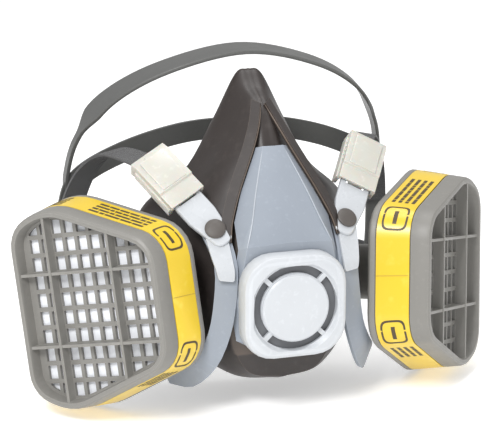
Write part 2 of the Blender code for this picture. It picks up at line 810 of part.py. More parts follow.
def buckle_matrix():
    """Hinge frame of the buckle, at the arm's slot, leaning back a little."""
    slot = arm_frame() @ Matrix.Translation((0, ARM_SLOT_DISTANCE, 0))
    return slot @ Matrix.Rotation(-BUCKLE_LEAN, 4, "X")


def buckle_section(y, front, back, drop=0.0):
    """Channel section, open at the back, at one distance up the buckle."""
    half = BUCKLE_WIDTH / 2
    inner = half - BUCKLE_WALL
    inside = front - BUCKLE_WALL
    corners = [(-half, front), (half, front), (half, back), (inner, back), (inner, inside)]
    corners += [(-inner, inside), (-inner, back), (-half, back)]
    return [Vector((x, y, z + drop)) for x, z in corners]


def buckle_mesh():
    """Channel over the arm's end: a front pad, two side flanges, a strap bar and a hinge tab."""
    half = BUCKLE_WIDTH / 2
    loops = [
        buckle_section(-1 * MM, BUCKLE_STEP_FRONT, 0.5 * MM),
        buckle_section(3 * MM, BUCKLE_STEP_FRONT, -2 * MM),
        buckle_section(7 * MM, BUCKLE_STEP_FRONT, -3.6 * MM),
        buckle_section(7.8 * MM, BUCKLE_PAD_FRONT, -4 * MM),
        buckle_section(12 * MM, BUCKLE_PAD_FRONT, BUCKLE_BACK),
        buckle_section(BUCKLE_LENGTH - 5 * MM, BUCKLE_PAD_FRONT, BUCKLE_BACK),
        buckle_section(BUCKLE_LENGTH - 1 * MM, BUCKLE_PAD_FRONT, BUCKLE_BACK, -1.4 * MM),
    ]
    channel = loops_mesh("buckle", loops)
    tab_low = (-3.6 * MM, -0.6 * MM, -ARM_THICKNESS)
    tab_high = (3.6 * MM, 0.6 * MM, BUCKLE_STEP_FRONT - 0.5 * MM)
    bar_low = (-half + 0.4 * MM, BUCKLE_BAR, BUCKLE_BACK - 1.2 * MM)
    bar_high = (half - 0.4 * MM, BUCKLE_BAR + 2.2 * MM, BUCKLE_BACK + 0.8 * MM)
    channel = join(channel, box_mesh("tab", tab_low, tab_high))
    return join(channel, box_mesh("bar", bar_low, bar_high))


def pivot_empty(name, matrix):
    """Empty on a joint's axis, for the moving pieces to hang from."""
    empty = bpy.data.objects.new(f"{name}_pivot", None)
    bpy.context.scene.collection.objects.link(empty)
    empty.matrix_world = matrix
    return empty


def pivot_empties(name, matrix):
    """Empties on a pivot and on its mirror image."""
    return pivot_empty(f"{name}_left", matrix), pivot_empty(f"{name}_right", MIRROR @ matrix @ MIRROR)


def add_arms(materials):
    arm_pivots = pivot_empties("arm", arm_frame())
    add_pair("strap_arm", arm_mesh(), materials["arm"], arm_frame(), arm_pivots)
    add_pair("arm_rivet", rivet_mesh(), materials["rivet"], arm_frame())
    buckle_pivots = pivot_empties("buckle", buckle_matrix())
    add_pair("strap_buckle", buckle_mesh(), materials["buckle"], buckle_matrix(), buckle_pivots)


# ---------------------------------------------------------------- harness


def rear_band_mesh():
    """Flat band behind the head, with a leg down each side."""
    half_path = millimetres([(82, 36, -44), (82.5, 35, -18), (81.5, 34, 2), (75.5, 31, 18)])
    half_path += millimetres([(54, 28, 30), (26, 27, 37.5), (0, 27, 39)])
    right = smooth_path(half_path, 3)
    path = right + [Vector((-point.x, point.y, point.z)) for point in reversed(right[:-1])]
    across = []
    for index in range(len(path)):
        along = path[min(index + 1, len(path) - 1)] - path[max(index - 1, 0)]
        across.append(Vector((0, 1, 0)).cross(along).normalized() * REAR_BAND_WIDTH)
    return ribbon_mesh("rear_band", path, across, BAND_THICKNESS)


def crown_band_mesh():
    """Wide band over the top of the head, drawn in to a narrow leg on each side."""
    half_path = millimetres([(82, 34.5, 8), (81.8, 33, 20), (77.5, 28, 38), (64.5, 20, 58)])
    half_path += millimetres([(38, 12, 73.5), (0, 7, 82)])
    right = smooth_path(half_path, 3)
    path = right + [Vector((-point.x, point.y, point.z)) for point in reversed(right[:-1])]
    across = []
    for index in range(len(right)):
        place = index / (len(right) - 1)
        share = (place - CROWN_LEG_END) / (CROWN_WIDE_START - CROWN_LEG_END)
        share = min(max(share, 0.0), 1.0)
        width = CROWN_LEG_WIDTH + (CROWN_BAND_WIDTH - CROWN_LEG_WIDTH) * share
        flare = CROWN_FLARE * share * (1 - place)
        across.append(Vector((flare, 1, CROWN_TILT * share)).normalized() * width)
    across += [Vector((-width.x, width.y, width.z)) for width in reversed(across[:-1])]
    return ribbon_mesh("crown_band", path, across, BAND_THICKNESS)


def side_strap_path():
    """From the buckle's bar back to the harness leg."""
    inside = millimetres([(0, 15, -1.9), (0, 19, -2.3), (0, 23, -3.3), (0, 29, -6)])
    path = [buckle_matrix() @ point for point in inside]
    path += millimetres([(65, 8, 35), (73.5, 20, 25), (79, 28.5, 9), (81.3, 32.2, -6)])
    return smooth_path(path, 3)


def side_strap_mesh():
    path = side_strap_path()
    first = buckle_matrix().col[0].to_3d().normalized()
    across = []
    for index, _ in enumerate(path):
        share = index / (len(path) - 1)
        direction = first.lerp(Vector((1, 0.06, 0)), share)
        across.append(direction.normalized() * STRAP_WIDTH)
    return ribbon_mesh("side_strap", path, across, STRAP_THICKNESS)


def neck_strap_mesh(clasp_end):
    """Half of the neck strap, from the harness leg to the clasp."""
    path = millimetres([(83, 38.2, 0), (77, 53, 0), (54, 68, 0), (29, 75.4, 0)])
    path = smooth_path([*path, clasp_end], 3)
    path = [point + Vector((0, 0, NECK_HEIGHT)) for point in path]
    across = [Vector((0, 0, STRAP_WIDTH))] * len(path)
    return ribbon_mesh("neck_strap", path, across, STRAP_THICKNESS)


def clasp_loop_mesh():
    """Frame on the fixed strap that the hook drops into."""
    places = [(-9, -9), (7, -9), (7, 9), (-9, 9)]
    outer = rounded_outline([(x * MM, y * MM, 2 * MM) for x, y in places], 3)
    window_low = (-5.5 * MM, -6.5 * MM, -5 * MM)
    window_high = (2.5 * MM, 6.5 * MM, 5 * MM)
    frame = stack_mesh("loop", [(outer, -1.2 * MM), (outer, 1.2 * MM)])
    return cut(frame, box_mesh("window", window_low, window_high))


def clasp_hook_mesh():
    """Plate with a hook that reaches through the loop's window."""
    plate = box_mesh("plate", (2.9 * MM, -7 * MM, 1.6 * MM), (19 * MM, 7 * MM, 3.6 * MM))
    arm = box_mesh("arm", (-1.5 * MM, -5 * MM, 1.8 * MM), (5 * MM, 5 * MM, 3.4 * MM))
    peg = box_mesh("peg", (-1.5 * MM, -5 * MM, -1.6 * MM), (0.3 * MM, 5 * MM, 2.6 * MM))
    return join(join(plate, arm), peg)


def clasp_frame():
    """Z backwards out of the neck, Y up, X towards the wearer's right."""
    turn = Matrix(((-1, 0, 0), (0, 0, 1), (0, 1, 0))).to_4x4()
    return Matrix.Translation((0, CLASP_DEPTH, NECK_HEIGHT)) @ turn


def add_harness(materials):
    swing = pivot_empty("harness", Matrix.Translation(HARNESS_PIVOT))
    hinge = pivot_empty("neck_half", Matrix.Translation(NECK_HINGE))
    still = Matrix.Identity(4)
    cradle = join(rear_band_mesh(), crown_band_mesh())
    add_piece("head_cradle", cradle, materials["band"], still, swing)
    add_pair("side_strap", side_strap_mesh(), materials["strap"], still, (swing, swing))
    fixed_half = neck_strap_mesh(Vector((9.6 * MM, CLASP_DEPTH, 0)))
    add_piece("neck_strap_left", fixed_half, materials["strap"], still, swing)
    opening_half = neck_strap_mesh(Vector((19.6 * MM, CLASP_DEPTH + 2.2 * MM, 0)))
    opening_half.transform(MIRROR)
    opening_half.flip_normals()
    add_piece("neck_strap_right", opening_half, materials["strap"], still, hinge)
    add_piece("clasp_loop", clasp_loop_mesh(), materials["clasp"], clasp_frame(), swing)
    add_piece("clasp_hook", clasp_hook_mesh(), materials["clasp"], clasp_frame(), hinge)


def add_front(materials):
    add_piece("facepiece", facepiece_mesh(), materials["rubber"])
    add_piece("front_shell", front_shell_mesh(), materials["shell"])
    seat_depth = COVER_DEPTH + 2.2 * MM
    add_piece("exhalation_seat", valve_seat_mesh(), materials["arm"], valve_frame(seat_depth))
    flap_place = valve_frame(seat_depth - TOUCH_GAP)
    hinge = flap_place @ Matrix.Translation((0, FLAP_HINGE * FLAP_RADIUS, 0))
    pivot = pivot_empty("exhalation_flap", hinge)
    add_piece("exhalation_flap", flap_mesh(FLAP_RADIUS), materials["flap"], flap_place, pivot)
    add_piece("valve_cover", valve_cover_mesh(), materials["cover"], valve_frame(0))


def make_materials():
    return {
        "rubber": make_material("facepiece_rubber", (0.075, 0.06, 0.055), 0.55),
        "shell": make_material("shell_plastic", (0.37, 0.40, 0.46), 0.42),
        "cover": make_material("cover_plastic", (0.80, 0.81, 0.82), 0.38),
        "arm": make_material("arm_plastic", (0.78, 0.79, 0.80), 0.35),
        "rivet": make_material("rivet_plastic", (0.28, 0.26, 0.24), 0.5),
        "buckle": make_material("buckle_plastic", (0.72, 0.70, 0.64), 0.3),
        "cartridge": make_material("cartridge_plastic", (0.31, 0.30, 0.28), 0.5),
        "label": make_material("label_film", (0.86, 0.60, 0.05), 0.35),
        "pad": make_material("filter_felt", (0.85, 0.86, 0.88), 0.9),
        "carbon": make_material("activated_carbon", (0.02, 0.02, 0.02), 0.95),
        "flap": make_material("flap_silicone", (0.72, 0.66, 0.45), 0.45),
        "band": make_material("cradle_plastic", (0.16, 0.165, 0.165), 0.5),
        "strap": make_material("strap_webbing", (0.07, 0.07, 0.07), 0.85),
        "clasp": make_material("clasp_plastic", (0.20, 0.20, 0.20), 0.45),
    }


def main():
    clear_scene()
    materials = make_materials()
    add_front(materials)
    add_cartridges(materials)
    add_arms(materials)
    add_harness(materials)


main()
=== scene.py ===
"""Looks of the half-face respirator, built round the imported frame."""

import json
import math

import bmesh
import bpy
from mathutils import Matrix, Vector


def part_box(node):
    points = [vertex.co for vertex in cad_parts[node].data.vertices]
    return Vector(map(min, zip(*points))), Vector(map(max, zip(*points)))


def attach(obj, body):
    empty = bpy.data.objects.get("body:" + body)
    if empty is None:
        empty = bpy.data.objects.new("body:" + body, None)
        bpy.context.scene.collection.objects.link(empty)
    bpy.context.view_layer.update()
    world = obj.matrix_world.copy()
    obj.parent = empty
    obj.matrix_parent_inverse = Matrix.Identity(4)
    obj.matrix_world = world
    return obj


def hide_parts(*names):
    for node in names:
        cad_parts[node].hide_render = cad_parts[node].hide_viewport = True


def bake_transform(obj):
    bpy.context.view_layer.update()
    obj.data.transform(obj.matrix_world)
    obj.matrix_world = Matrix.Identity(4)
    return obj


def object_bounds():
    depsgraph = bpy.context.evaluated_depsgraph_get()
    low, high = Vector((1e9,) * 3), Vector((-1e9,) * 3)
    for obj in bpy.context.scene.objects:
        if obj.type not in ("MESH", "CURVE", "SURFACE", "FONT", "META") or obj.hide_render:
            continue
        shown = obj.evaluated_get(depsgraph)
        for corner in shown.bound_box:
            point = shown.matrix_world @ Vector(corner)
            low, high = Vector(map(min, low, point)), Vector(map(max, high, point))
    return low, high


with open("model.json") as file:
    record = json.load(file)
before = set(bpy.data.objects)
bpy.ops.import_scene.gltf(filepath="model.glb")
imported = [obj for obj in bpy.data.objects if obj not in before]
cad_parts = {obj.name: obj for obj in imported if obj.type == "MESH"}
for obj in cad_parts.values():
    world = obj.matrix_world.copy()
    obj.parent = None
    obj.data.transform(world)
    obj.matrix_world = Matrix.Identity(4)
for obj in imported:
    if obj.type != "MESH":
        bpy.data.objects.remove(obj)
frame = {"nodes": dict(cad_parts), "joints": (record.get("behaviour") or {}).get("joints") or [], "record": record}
CAD_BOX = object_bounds()
NODES = frame["nodes"]
JOINTS = {joint["name"]: joint for joint in frame["joints"]}
MOUNTS = {mount["name"]: mount for mount in frame["record"]["mounts"]}

MM = 0.001
SIDES = {"left": 1, "right": -1}

# Camera
CAMERA_AZIMUTH = math.radians(-18)
CAMERA_ELEVATION = math.radians(15)
CAMERA_DISTANCE = 0.85
CAMERA_LENS = 138
CAMERA_SENSOR = 36
CAMERA_TARGET = Vector((-20.3, -57.4, 14.4)) * MM

# Studio: each lamp has a name, a place, a size and a power
FLOOR_REACH = 4.0
FLOOR_GAP = 1 * MM
FLOOR_GLOW = 0.38
WORLD_LIGHT = 0.64
LAMPS = (
    ("key", (-0.55, -0.65, 0.75), 0.30, 9.0),
    ("fill", (0.8, -0.6, 0.35), 0.6, 1.0),
    ("top", (0.1, 0.1, 1.0), 0.6, 4.0),
)

# Mesh density
PATH_STEPS = 8
SHORT_PATH_STEPS = 6
ROUND_STEPS = 64
GROOVE_STEPS = 72
TUBE_SIDES = 12
CREASE_SIDES = 8

# Patches of roughness, and how well a rounded normal agrees with the true one at an edge with a painted highlight
ROUGHNESS_SCALE = 90
HIGHLIGHT_RADIUS = 0.4 * MM
HIGHLIGHT_START = 0.995
HIGHLIGHT_FULL = 0.93

# Lower half of a band's cross-section, in half widths and half thicknesses
BAND_SECTION = ((-1, -0.55), (-0.96, -1), (-0.5, -1), (0, -1), (0.5, -1), (0.96, -1), (1, -0.55))

# Tubes: radius at each end as a share, steps of the taper, and a direction no tube runs in
TAPER_END = 0.35
TAPER_STEPS = 3
TUBE_REFERENCE = Vector((0.3, 1, 0.2))

# Solids shown with rounded edges: points closer than this are welded, and flatter edges dissolved
WELD_DISTANCE = 0.02 * MM
FLAT_ANGLE = math.radians(1)

# Rubber facepiece
RUBBER_THICKNESS = 2.6 * MM
MIDDLE_SETBACK = 0.4
SEAL_ROLL = 1.2 * MM
MASK_CENTRE_HEIGHT = -5 * MM
VALVE_HOLE_RADIUS = 13.7 * MM
VALVE_HOLE_DEPTH = 25 * MM
VALVE_HOLE_REACH = 30 * MM
PORT_HOLE_RADIUS = 14.1 * MM
PORT_HOLE_REACH = 16 * MM

# Raised rubber edge beside the nose, and the paler lip on it, a painted highlight
COLLAR_ROUTE = (
    (0.9, -25.5, 60.8),
    (4.6, -33.5, 52),
    (8.6, -38.6, 43.6),
    (14, -43.4, 33.4),
    (19.2, -48, 23.4),
    (24.2, -54, 12),
    (26, -58.2, 4),
)
COLLAR_SLOPE = (0.62, 0.74, 0.26)
COLLAR_WIDTH = 5.5 * MM
COLLAR_OFFSET = 2.7 * MM
COLLAR_THICKNESS = 2.0 * MM
LIP_RADIUS = 0.42 * MM

# Tongues below the rivets, narrowing downwards, and the raised lines down the nose, pale as painted highlights on
# its creases
TONGUE_ROUTE = ((31.8, -55.2, 5), (31.2, -60.2, -2), (30.6, -63.9, -7.5), (30.4, -65.2, -12))
TONGUE_SLOPE = (0.95, 0.25, 0.1)
TONGUE_WIDTH = 10.5 * MM
TONGUE_NARROWING = 3.2 * MM
TONGUE_NARROWING_POWER = 1.5
TONGUE_END_SHARE = 0.8
TONGUE_THICKNESS = 1.6 * MM
SHELL_CREASES = (((5, -40.6, 43.6), (12, -52.1, 26), (16.5, -60.1, 13), (20.5, -65.3, 3)),)
CREASE_RADIUS = 0.28 * MM

# Floor behind the ring of slots in the valve cover, dark as painted shade in the groove
GROOVE_INNER = 16.0 * MM
GROOVE_OUTER = 20.7 * MM
GROOVE_FRONT = -4.0 * MM
GROOVE_BACK = -4.4 * MM

# Label print: shares run once round the label, depths from its front edge to its back edge
OUTLINE_TOLERANCE = 0.3 * MM
INK_LOW = 0.03 * MM
INK_HIGH = 0.11 * MM
DASH_COLUMNS = ((0.035, 0.135, 2), (0.86, 0.985, 5), (0.40, 0.455, 3))
DASH_ROWS = 4
DASH_FIRST_DEPTH = 0.14
DASH_ROW_PITCH = 0.2
DASH_HEIGHT = 0.1
DASH_SHORTEST = 0.006
DASH_GROWTH = 0.002
DASH_GAP = 0.0022
DASH_STEPS = 4
BOX_SPANS = ((0.150, 0.196), (0.335, 0.381))
BOX_DEPTHS = (0.12, 0.88)
BOX_LINE = 0.06
BOX_CORNER_POWER = 0.45
BOX_STEPS = 48
BOX_BAR_INSET = 0.011
BOX_BAR_DEPTHS = (0.44, 0.56)
BOX_BAR_STEPS = 10
SEAM_SPAN = (0.2655, 0.2665)
SEAM_DEPTHS = (0.02, 0.98)

# Buckle: rails, pad and gripping ribs, measured from the edges of the solid
RAIL_INSET = 0.2 * MM
RAIL_HALF_WIDTH = 1.1 * MM
RAIL_BOTTOM = 1.0 * MM
RAIL_TOP = 4 * MM
RAIL_BACK = 2.2 * MM
RAIL_FRONT = 3.4 * MM
PAD_MARGIN = 2.6 * MM
PAD_BOTTOM = 9.5 * MM
PAD_TOP = 3.2 * MM
PAD_ROOT = 0.8 * MM
PAD_RISE = 0.45 * MM
RIB_COUNT = 5
RIB_FIRST = 8 * MM
RIB_PITCH = 2.6 * MM
RIB_HEIGHT = 1.2 * MM
RIB_OUT = 0.5 * MM
RIB_IN = 1 * MM
RIB_BACK = 6.5 * MM
RIB_FRONT = 2.6 * MM
DETAIL_BEVEL = 0.35 * MM

# Head cradle: half of each band, from its low end to the middle of the head
BAND_THICKNESS = 1.8 * MM
REAR_BAND_WIDTH = 10.5 * MM
REAR_BAND_ROUTE = (
    (82, 36, -44),
    (82.5, 35, -18),
    (81.5, 34, 2),
    (75.5, 31, 18),
    (54, 28, 30),
    (26, 27, 37.5),
    (0, 27, 39),
)
CROWN_BAND_ROUTE = (
    (82, 34.5, 8),
    (81.8, 33, 20),
    (77.5, 28, 38),
    (64.5, 20, 58),
    (38, 12, 73.5),
    (0, 7, 82),
)
CROWN_BAND_WIDTH = 17 * MM
CROWN_LEG_WIDTH = 6.5 * MM
CROWN_LEG_END = 0.42
CROWN_WIDE_START = 0.54
CROWN_FLARE = 0.3
CROWN_TILT = 0.1

# Straps: side straps start in the buckle's own frame, and their parts lap over each other
STRAP_WIDTH = 12 * MM
STRAP_THICKNESS = 1.4 * MM
STRAP_IN_BUCKLE = ((0, 15, -1.9), (0, 19, -2.3), (0, 23, -3.3), (0, 29, -6))
STRAP_BEHIND = ((65, 8, 35), (73.5, 20, 25), (79, 28.5, 9), (81.3, 32.2, -6))
STRAP_END_SLOPE = 0.06
STRAP_LAP = 2
TAIL_THINNING = 0.94
BEND_THINNING = 0.97
NECK_HEIGHT = -38 * MM
NECK_ROUTE = ((83, 38.2, 0), (77, 53, 0), (54, 68, 0), (29, 75.4, 0))
NECK_ENDS = (("left", (9.6, 76, 0), "harness"), ("right", (19.6, 78.2, 0), "neck_half"))


# ---------------------------------------------------------------- materials


class Surface:
    """Node material whose colour, roughness and relief all vary over the surface."""

    def __init__(self, name, colour, roughness):
        self.material = bpy.data.materials.new(name)
        self.material.use_nodes = True
        self.tree = self.material.node_tree
        self.shader = self.tree.nodes["Principled BSDF"]
        self.place = self.tree.nodes.new("ShaderNodeTexCoord").outputs["Object"]
        self.colour = None
        self.base = colour
        self.roughness = roughness
        self.relief = None

    def node(self, kind, **values):
        """New node with the given properties."""
        made = self.tree.nodes.new(kind)
        for key, value in values.items():
            setattr(made, key, value)
        return made

    def link(self, output, target):
        self.tree.links.new(output, target)

    def noise(self, scale, detail=4, stretch=None):
        """Noise over the object, finer along an axis where its stretch is larger."""
        texture = self.node("ShaderNodeTexNoise")
        texture.inputs["Scale"].default_value = scale
        texture.inputs["Detail"].default_value = detail
        source = self.place
        if stretch:
            mapping = self.node("ShaderNodeMapping")
            mapping.inputs["Scale"].default_value = stretch
            self.link(self.place, mapping.inputs["Vector"])
            source = mapping.outputs["Vector"]
        self.link(source, texture.inputs["Vector"])
        return texture.outputs["Fac"]

    def ramp(self, source, low, high):
        """Smooth 0 to 1 between two values of the source."""
        step = self.node("ShaderNodeMapRange", interpolation_type="SMOOTHSTEP")
        step.inputs["From Min"].default_value = low
        step.inputs["From Max"].default_value = high
        self.link(source, step.inputs["Value"])
        return step.outputs["Result"]

    def tint(self, factor, colour, strength):
        """Mixes a colour in where the factor is high."""
        mix = self.node("ShaderNodeMix", data_type="RGBA")
        if self.colour is None:
            mix.inputs["A"].default_value = (*self.base, 1)
        else:
            self.link(self.colour, mix.inputs["A"])
        mix.inputs["B"].default_value = (*colour, 1)
        scaled = self.node("ShaderNodeMath", operation="MULTIPLY")
        scaled.inputs[1].default_value = strength
        self.link(factor, scaled.inputs[0])
        self.link(scaled.outputs[0], mix.inputs["Factor"])
        self.colour = mix.outputs["Result"]

    def bump(self, height, depth, strength):
        """Adds relief of the given depth in metres."""
        relief = self.node("ShaderNodeBump")
        relief.inputs["Strength"].default_value = strength
        relief.inputs["Distance"].default_value = depth
        self.link(height, relief.inputs["Height"])
        if self.relief is not None:
            self.link(self.relief, relief.inputs["Normal"])
        self.relief = relief.outputs["Normal"]

    def edge_highlight(self, colour, strength):
        """Paler colour, a painted highlight, where a rounded normal turns away from the true one."""
        geometry = self.node("ShaderNodeNewGeometry")
        rounded_normal = self.node("ShaderNodeBevel", samples=3)
        rounded_normal.inputs["Radius"].default_value = HIGHLIGHT_RADIUS
        agreement = self.node("ShaderNodeVectorMath", operation="DOT_PRODUCT")
        self.link(geometry.outputs["True Normal"], agreement.inputs[0])
        self.link(rounded_normal.outputs["Normal"], agreement.inputs[1])
        self.tint(self.ramp(agreement.outputs["Value"], HIGHLIGHT_START, HIGHLIGHT_FULL), colour, strength)

    def finish(self, spread=0.12):
        """Connects colour and relief, and lets the roughness vary by the spread both ways."""
        rough = self.node("ShaderNodeMapRange")
        rough.inputs["To Min"].default_value = max(self.roughness - spread, 0.05)
        rough.inputs["To Max"].default_value = min(self.roughness + spread, 1.0)
        self.link(self.noise(ROUGHNESS_SCALE), rough.inputs["Value"])
        self.link(rough.outputs["Result"], self.shader.inputs["Roughness"])
        self.link(self.colour, self.shader.inputs["Base Color"])
        if self.relief is not None:
            self.link(self.relief, self.shader.inputs["Normal"])
        return self.material


def scaled_colour(colour, factor):
    """Lighter or darker colour."""
    return tuple(min(channel * factor, 1.0) for channel in colour)


def moulded_plastic(name, colour, roughness, grain, highlight):
    """Moulded plastic with a fine spark-eroded grain, faint mottling and edges paled by a painted highlight."""
    surface = Surface(name, colour, roughness)
    surface.tint(surface.noise(55), scaled_colour(colour, 0.82), 0.55)
    surface.tint(surface.ramp(surface.noise(420), 0.55, 0.75), scaled_colour(colour, 1.18), 0.35)
    # painted highlight: paler colour along the edges
    surface.edge_highlight(scaled_colour(colour, 1.5), highlight)
    surface.bump(surface.noise(2600, 2), grain, 0.35)
    surface.bump(surface.noise(35, 1), 0.0004, 0.12)
    return surface.finish()


def rubber_material():
    """Soft satin rubber: brownish grey, with dusty bloom and ridges paled by a painted highlight."""
    surface = Surface("moulded_rubber", (0.024, 0.019, 0.0175), 0.42)
    surface.tint(surface.noise(40), (0.043, 0.034, 0.031), 0.65)
    surface.tint(surface.ramp(surface.noise(260), 0.5, 0.8), (0.07, 0.058, 0.053), 0.3)
    # painted highlight: pale tan along the rubber's ridges
    surface.edge_highlight((0.20, 0.15, 0.115), 0.35)
    surface.bump(surface.noise(1900, 3), 0.00008, 0.4)
    surface.bump(surface.noise(60, 2), 0.0006, 0.15)
    return surface.finish(0.09)


def lip_highlight_material():
    """Pale brown painted highlight along the rubber's edge."""
    surface = Surface("rubber_lip_highlight", (0.085, 0.062, 0.048), 0.42)
    surface.tint(surface.noise(150), (0.16, 0.12, 0.09), 0.8)
    surface.bump(surface.noise(1500, 2), 0.00006, 0.4)
    return surface.finish()


def buckle_material():
    """Milky nylon that lets some light through."""
    surface = Surface("milky_nylon", (0.60, 0.59, 0.535), 0.3)
    surface.tint(surface.noise(70), (0.50, 0.485, 0.43), 0.6)
    surface.tint(surface.ramp(surface.noise(300), 0.55, 0.8), (0.78, 0.77, 0.73), 0.5)
    # painted highlight: paler colour along the buckle's edges
    surface.edge_highlight((0.92, 0.91, 0.88), 0.5)
    surface.bump(surface.noise(900, 2), 0.00008, 0.3)
    surface.shader.inputs["Subsurface Weight"].default_value = 0.25
    surface.shader.inputs["Subsurface Scale"].default_value = 0.002
    surface.shader.inputs["Transmission Weight"].default_value = 0.12
    return surface.finish(0.08)


def label_material():
    """Glossy yellow film with slight ripples and print mottle."""
    surface = Surface("label_film", (0.74, 0.52, 0.020), 0.33)
    surface.tint(surface.noise(38), (0.66, 0.44, 0.016), 0.5)
    surface.tint(surface.ramp(surface.noise(120), 0.55, 0.8), (0.88, 0.72, 0.14), 0.5)
    surface.bump(surface.noise(70, 2), 0.0005, 0.16)
    surface.bump(surface.noise(1600, 2), 0.00003, 0.3)
    surface.shader.inputs["Coat Weight"].default_value = 0.3
    surface.shader.inputs["Coat Roughness"].default_value = 0.2
    return surface.finish(0.08)


def ink_material():
    """Brownish black ink that has taken unevenly."""
    surface = Surface("label_ink", (0.035, 0.025, 0.012), 0.5)
    surface.tint(surface.noise(700), (0.12, 0.08, 0.03), 0.7)
    surface.bump(surface.noise(1500, 2), 0.00003, 0.3)
    return surface.finish()


def seam_material():
    """Ochre line where the label's ends meet."""
    surface = Surface("label_seam", (0.45, 0.30, 0.03), 0.4)
    surface.tint(surface.noise(500), (0.6, 0.42, 0.06), 0.6)
    surface.bump(surface.noise(1500, 2), 0.00003, 0.3)
    return surface.finish()


def felt_material():
    """White felt: matted fibres in two directions."""
    surface = Surface("filter_felt", (0.88, 0.90, 0.94), 0.95)
    surface.tint(surface.noise(500, 8, (1, 6, 1)), (0.60, 0.63, 0.70), 0.5)
    surface.tint(surface.noise(500, 8, (6, 1, 1)), (0.93, 0.94, 0.96), 0.5)
    surface.bump(surface.noise(1400, 8, (1, 5, 2)), 0.0003, 0.7)
    surface.shader.inputs["Sheen Weight"].default_value = 0.3
    return surface.finish(0.04)


def carbon_material():
    """Black granules packed side by side."""
    surface = Surface("carbon_granules", (0.012, 0.012, 0.013), 0.8)
    cells = surface.node("ShaderNodeTexVoronoi")
    cells.inputs["Scale"].default_value = 900
    surface.link(surface.place, cells.inputs["Vector"])
    surface.tint(surface.ramp(cells.outputs["Distance"], 0.1, 0.5), (0.06, 0.06, 0.065), 0.8)
    surface.bump(cells.outputs["Distance"], 0.0006, 0.9)
    return surface.finish()


def silicone_material():
    """Amber silicone that lets a little light through."""
    surface = Surface("flap_silicone", (0.62, 0.55, 0.34), 0.4)
    surface.tint(surface.noise(140), (0.72, 0.66, 0.46), 0.6)
    surface.bump(surface.noise(1300, 2), 0.00005, 0.4)
    surface.shader.inputs["Subsurface Weight"].default_value = 0.2
    surface.shader.inputs["Subsurface Scale"].default_value = 0.001
    return surface.finish()


def webbing_material():
    """Dark elastic webbing, ribbed across and woven along, read from its own UV map."""
    surface = Surface("strap_webbing", (0.055, 0.055, 0.057), 0.85)
    layout = surface.node("ShaderNodeUVMap")
    layout.uv_map = "weave"
    waves = []
    for direction, scale in (("X", 1.6), ("Y", 2.2)):
        wave = surface.node("ShaderNodeTexWave", bands_direction=direction, wave_profile="SIN")
        wave.inputs["Scale"].default_value = scale
        surface.link(layout.outputs["UV"], wave.inputs["Vector"])
        waves.append(wave.outputs["Fac"])
    woven = surface.node("ShaderNodeMath", operation="MULTIPLY")
    surface.link(waves[0], woven.inputs[0])
    surface.link(waves[1], woven.inputs[1])
    surface.tint(surface.ramp(woven.outputs[0], 0.2, 0.8), (0.15, 0.15, 0.155), 0.8)
    surface.tint(surface.noise(200), (0.035, 0.035, 0.036), 0.4)
    surface.bump(woven.outputs[0], 0.0003, 0.8)
    surface.shader.inputs["Sheen Weight"].default_value = 0.25
    return surface.finish(0.06)


def floor_material():
    """Pale matt paper that glows slightly, so that shadows on it stay soft."""
    surface = Surface("studio_paper", (0.90, 0.90, 0.90), 0.9)
    surface.tint(surface.noise(3), (0.88, 0.88, 0.88), 0.5)
    surface.shader.inputs["Emission Color"].default_value = (1, 1, 1, 1)
    surface.shader.inputs["Emission Strength"].default_value = FLOOR_GLOW
    surface.bump(surface.noise(900, 2), 0.00002, 0.2)
    return surface.finish(0.03)


MATERIALS = {
    "rubber": rubber_material(),
    # pale rubber lip: a painted highlight along the collar's edge
    "lip": lip_highlight_material(),
    "shell": moulded_plastic("shell_plastic", (0.27, 0.30, 0.345), 0.36, 0.00004, 0.6),
    "cover": moulded_plastic("cover_plastic", (0.53, 0.55, 0.575), 0.34, 0.00003, 0.3),
    # pale crease lines: painted highlights on the nose shell's creases
    "crease": moulded_plastic("shell_crease_highlight", (0.40, 0.43, 0.47), 0.32, 0.00003, 0.2),
    # painted shade: dark plastic behind the valve cover's slots
    "shadow": moulded_plastic("groove_painted_shade", (0.13, 0.135, 0.145), 0.5, 0.00004, 0.2),
    "arm": moulded_plastic("arm_plastic", (0.50, 0.52, 0.545), 0.28, 0.00003, 0.4),
    "rivet": moulded_plastic("rivet_plastic", (0.085, 0.075, 0.068), 0.45, 0.00035, 0.5),
    "cartridge": moulded_plastic("cartridge_plastic", (0.215, 0.208, 0.192), 0.46, 0.00008, 0.6),
    "band": moulded_plastic("cradle_plastic", (0.085, 0.086, 0.083), 0.42, 0.00006, 0.4),
    "clasp": moulded_plastic("clasp_plastic", (0.12, 0.12, 0.12), 0.4, 0.00006, 0.3),
    "buckle": buckle_material(),
    "label": label_material(),
    "ink": ink_material(),
    "seam": seam_material(),
    "felt": felt_material(),
    "carbon": carbon_material(),
    "silicone": silicone_material(),
    "webbing": webbing_material(),
}


# ---------------------------------------------------------------- paths and meshes


def millimetres(points):
    """Points given in millimetres, as vectors in metres."""
    return [Vector(point) * MM for point in points]


def sided(route, side):
    """Route given for the left side in millimetres, mirrored where the side is -1."""
    return millimetres([(side * x, y, z) for x, y, z in route])


def smooth_path(points, per_span=PATH_STEPS):
    """Points along a Catmull-Rom curve through the given points."""
    padded = [2 * points[0] - points[1], *points, 2 * points[-1] - points[-2]]
    path = []
    for a, b, c, d in zip(padded, padded[1:], padded[2:], padded[3:]):
        for step in range(per_span):
            t = step / per_span
            bend = (2 * a - 5 * b + 4 * c - d) * t**2 + (3 * b - a - 3 * c + d) * t**3
            path.append(0.5 * (2 * b + (c - a) * t + bend))
    path.append(points[-1].copy())
    return path


def mirrored_path(route):
    """Smooth path from one side to the other, through the last point of the route."""
    half = millimetres(route)
    return smooth_path(half + [Vector((-point.x, point.y, point.z)) for point in reversed(half[:-1])])


def direction_at(path, index):
    """Way the path runs at one of its points, from the point before to the point after."""
    return path[min(index + 1, len(path) - 1)] - path[max(index - 1, 0)]


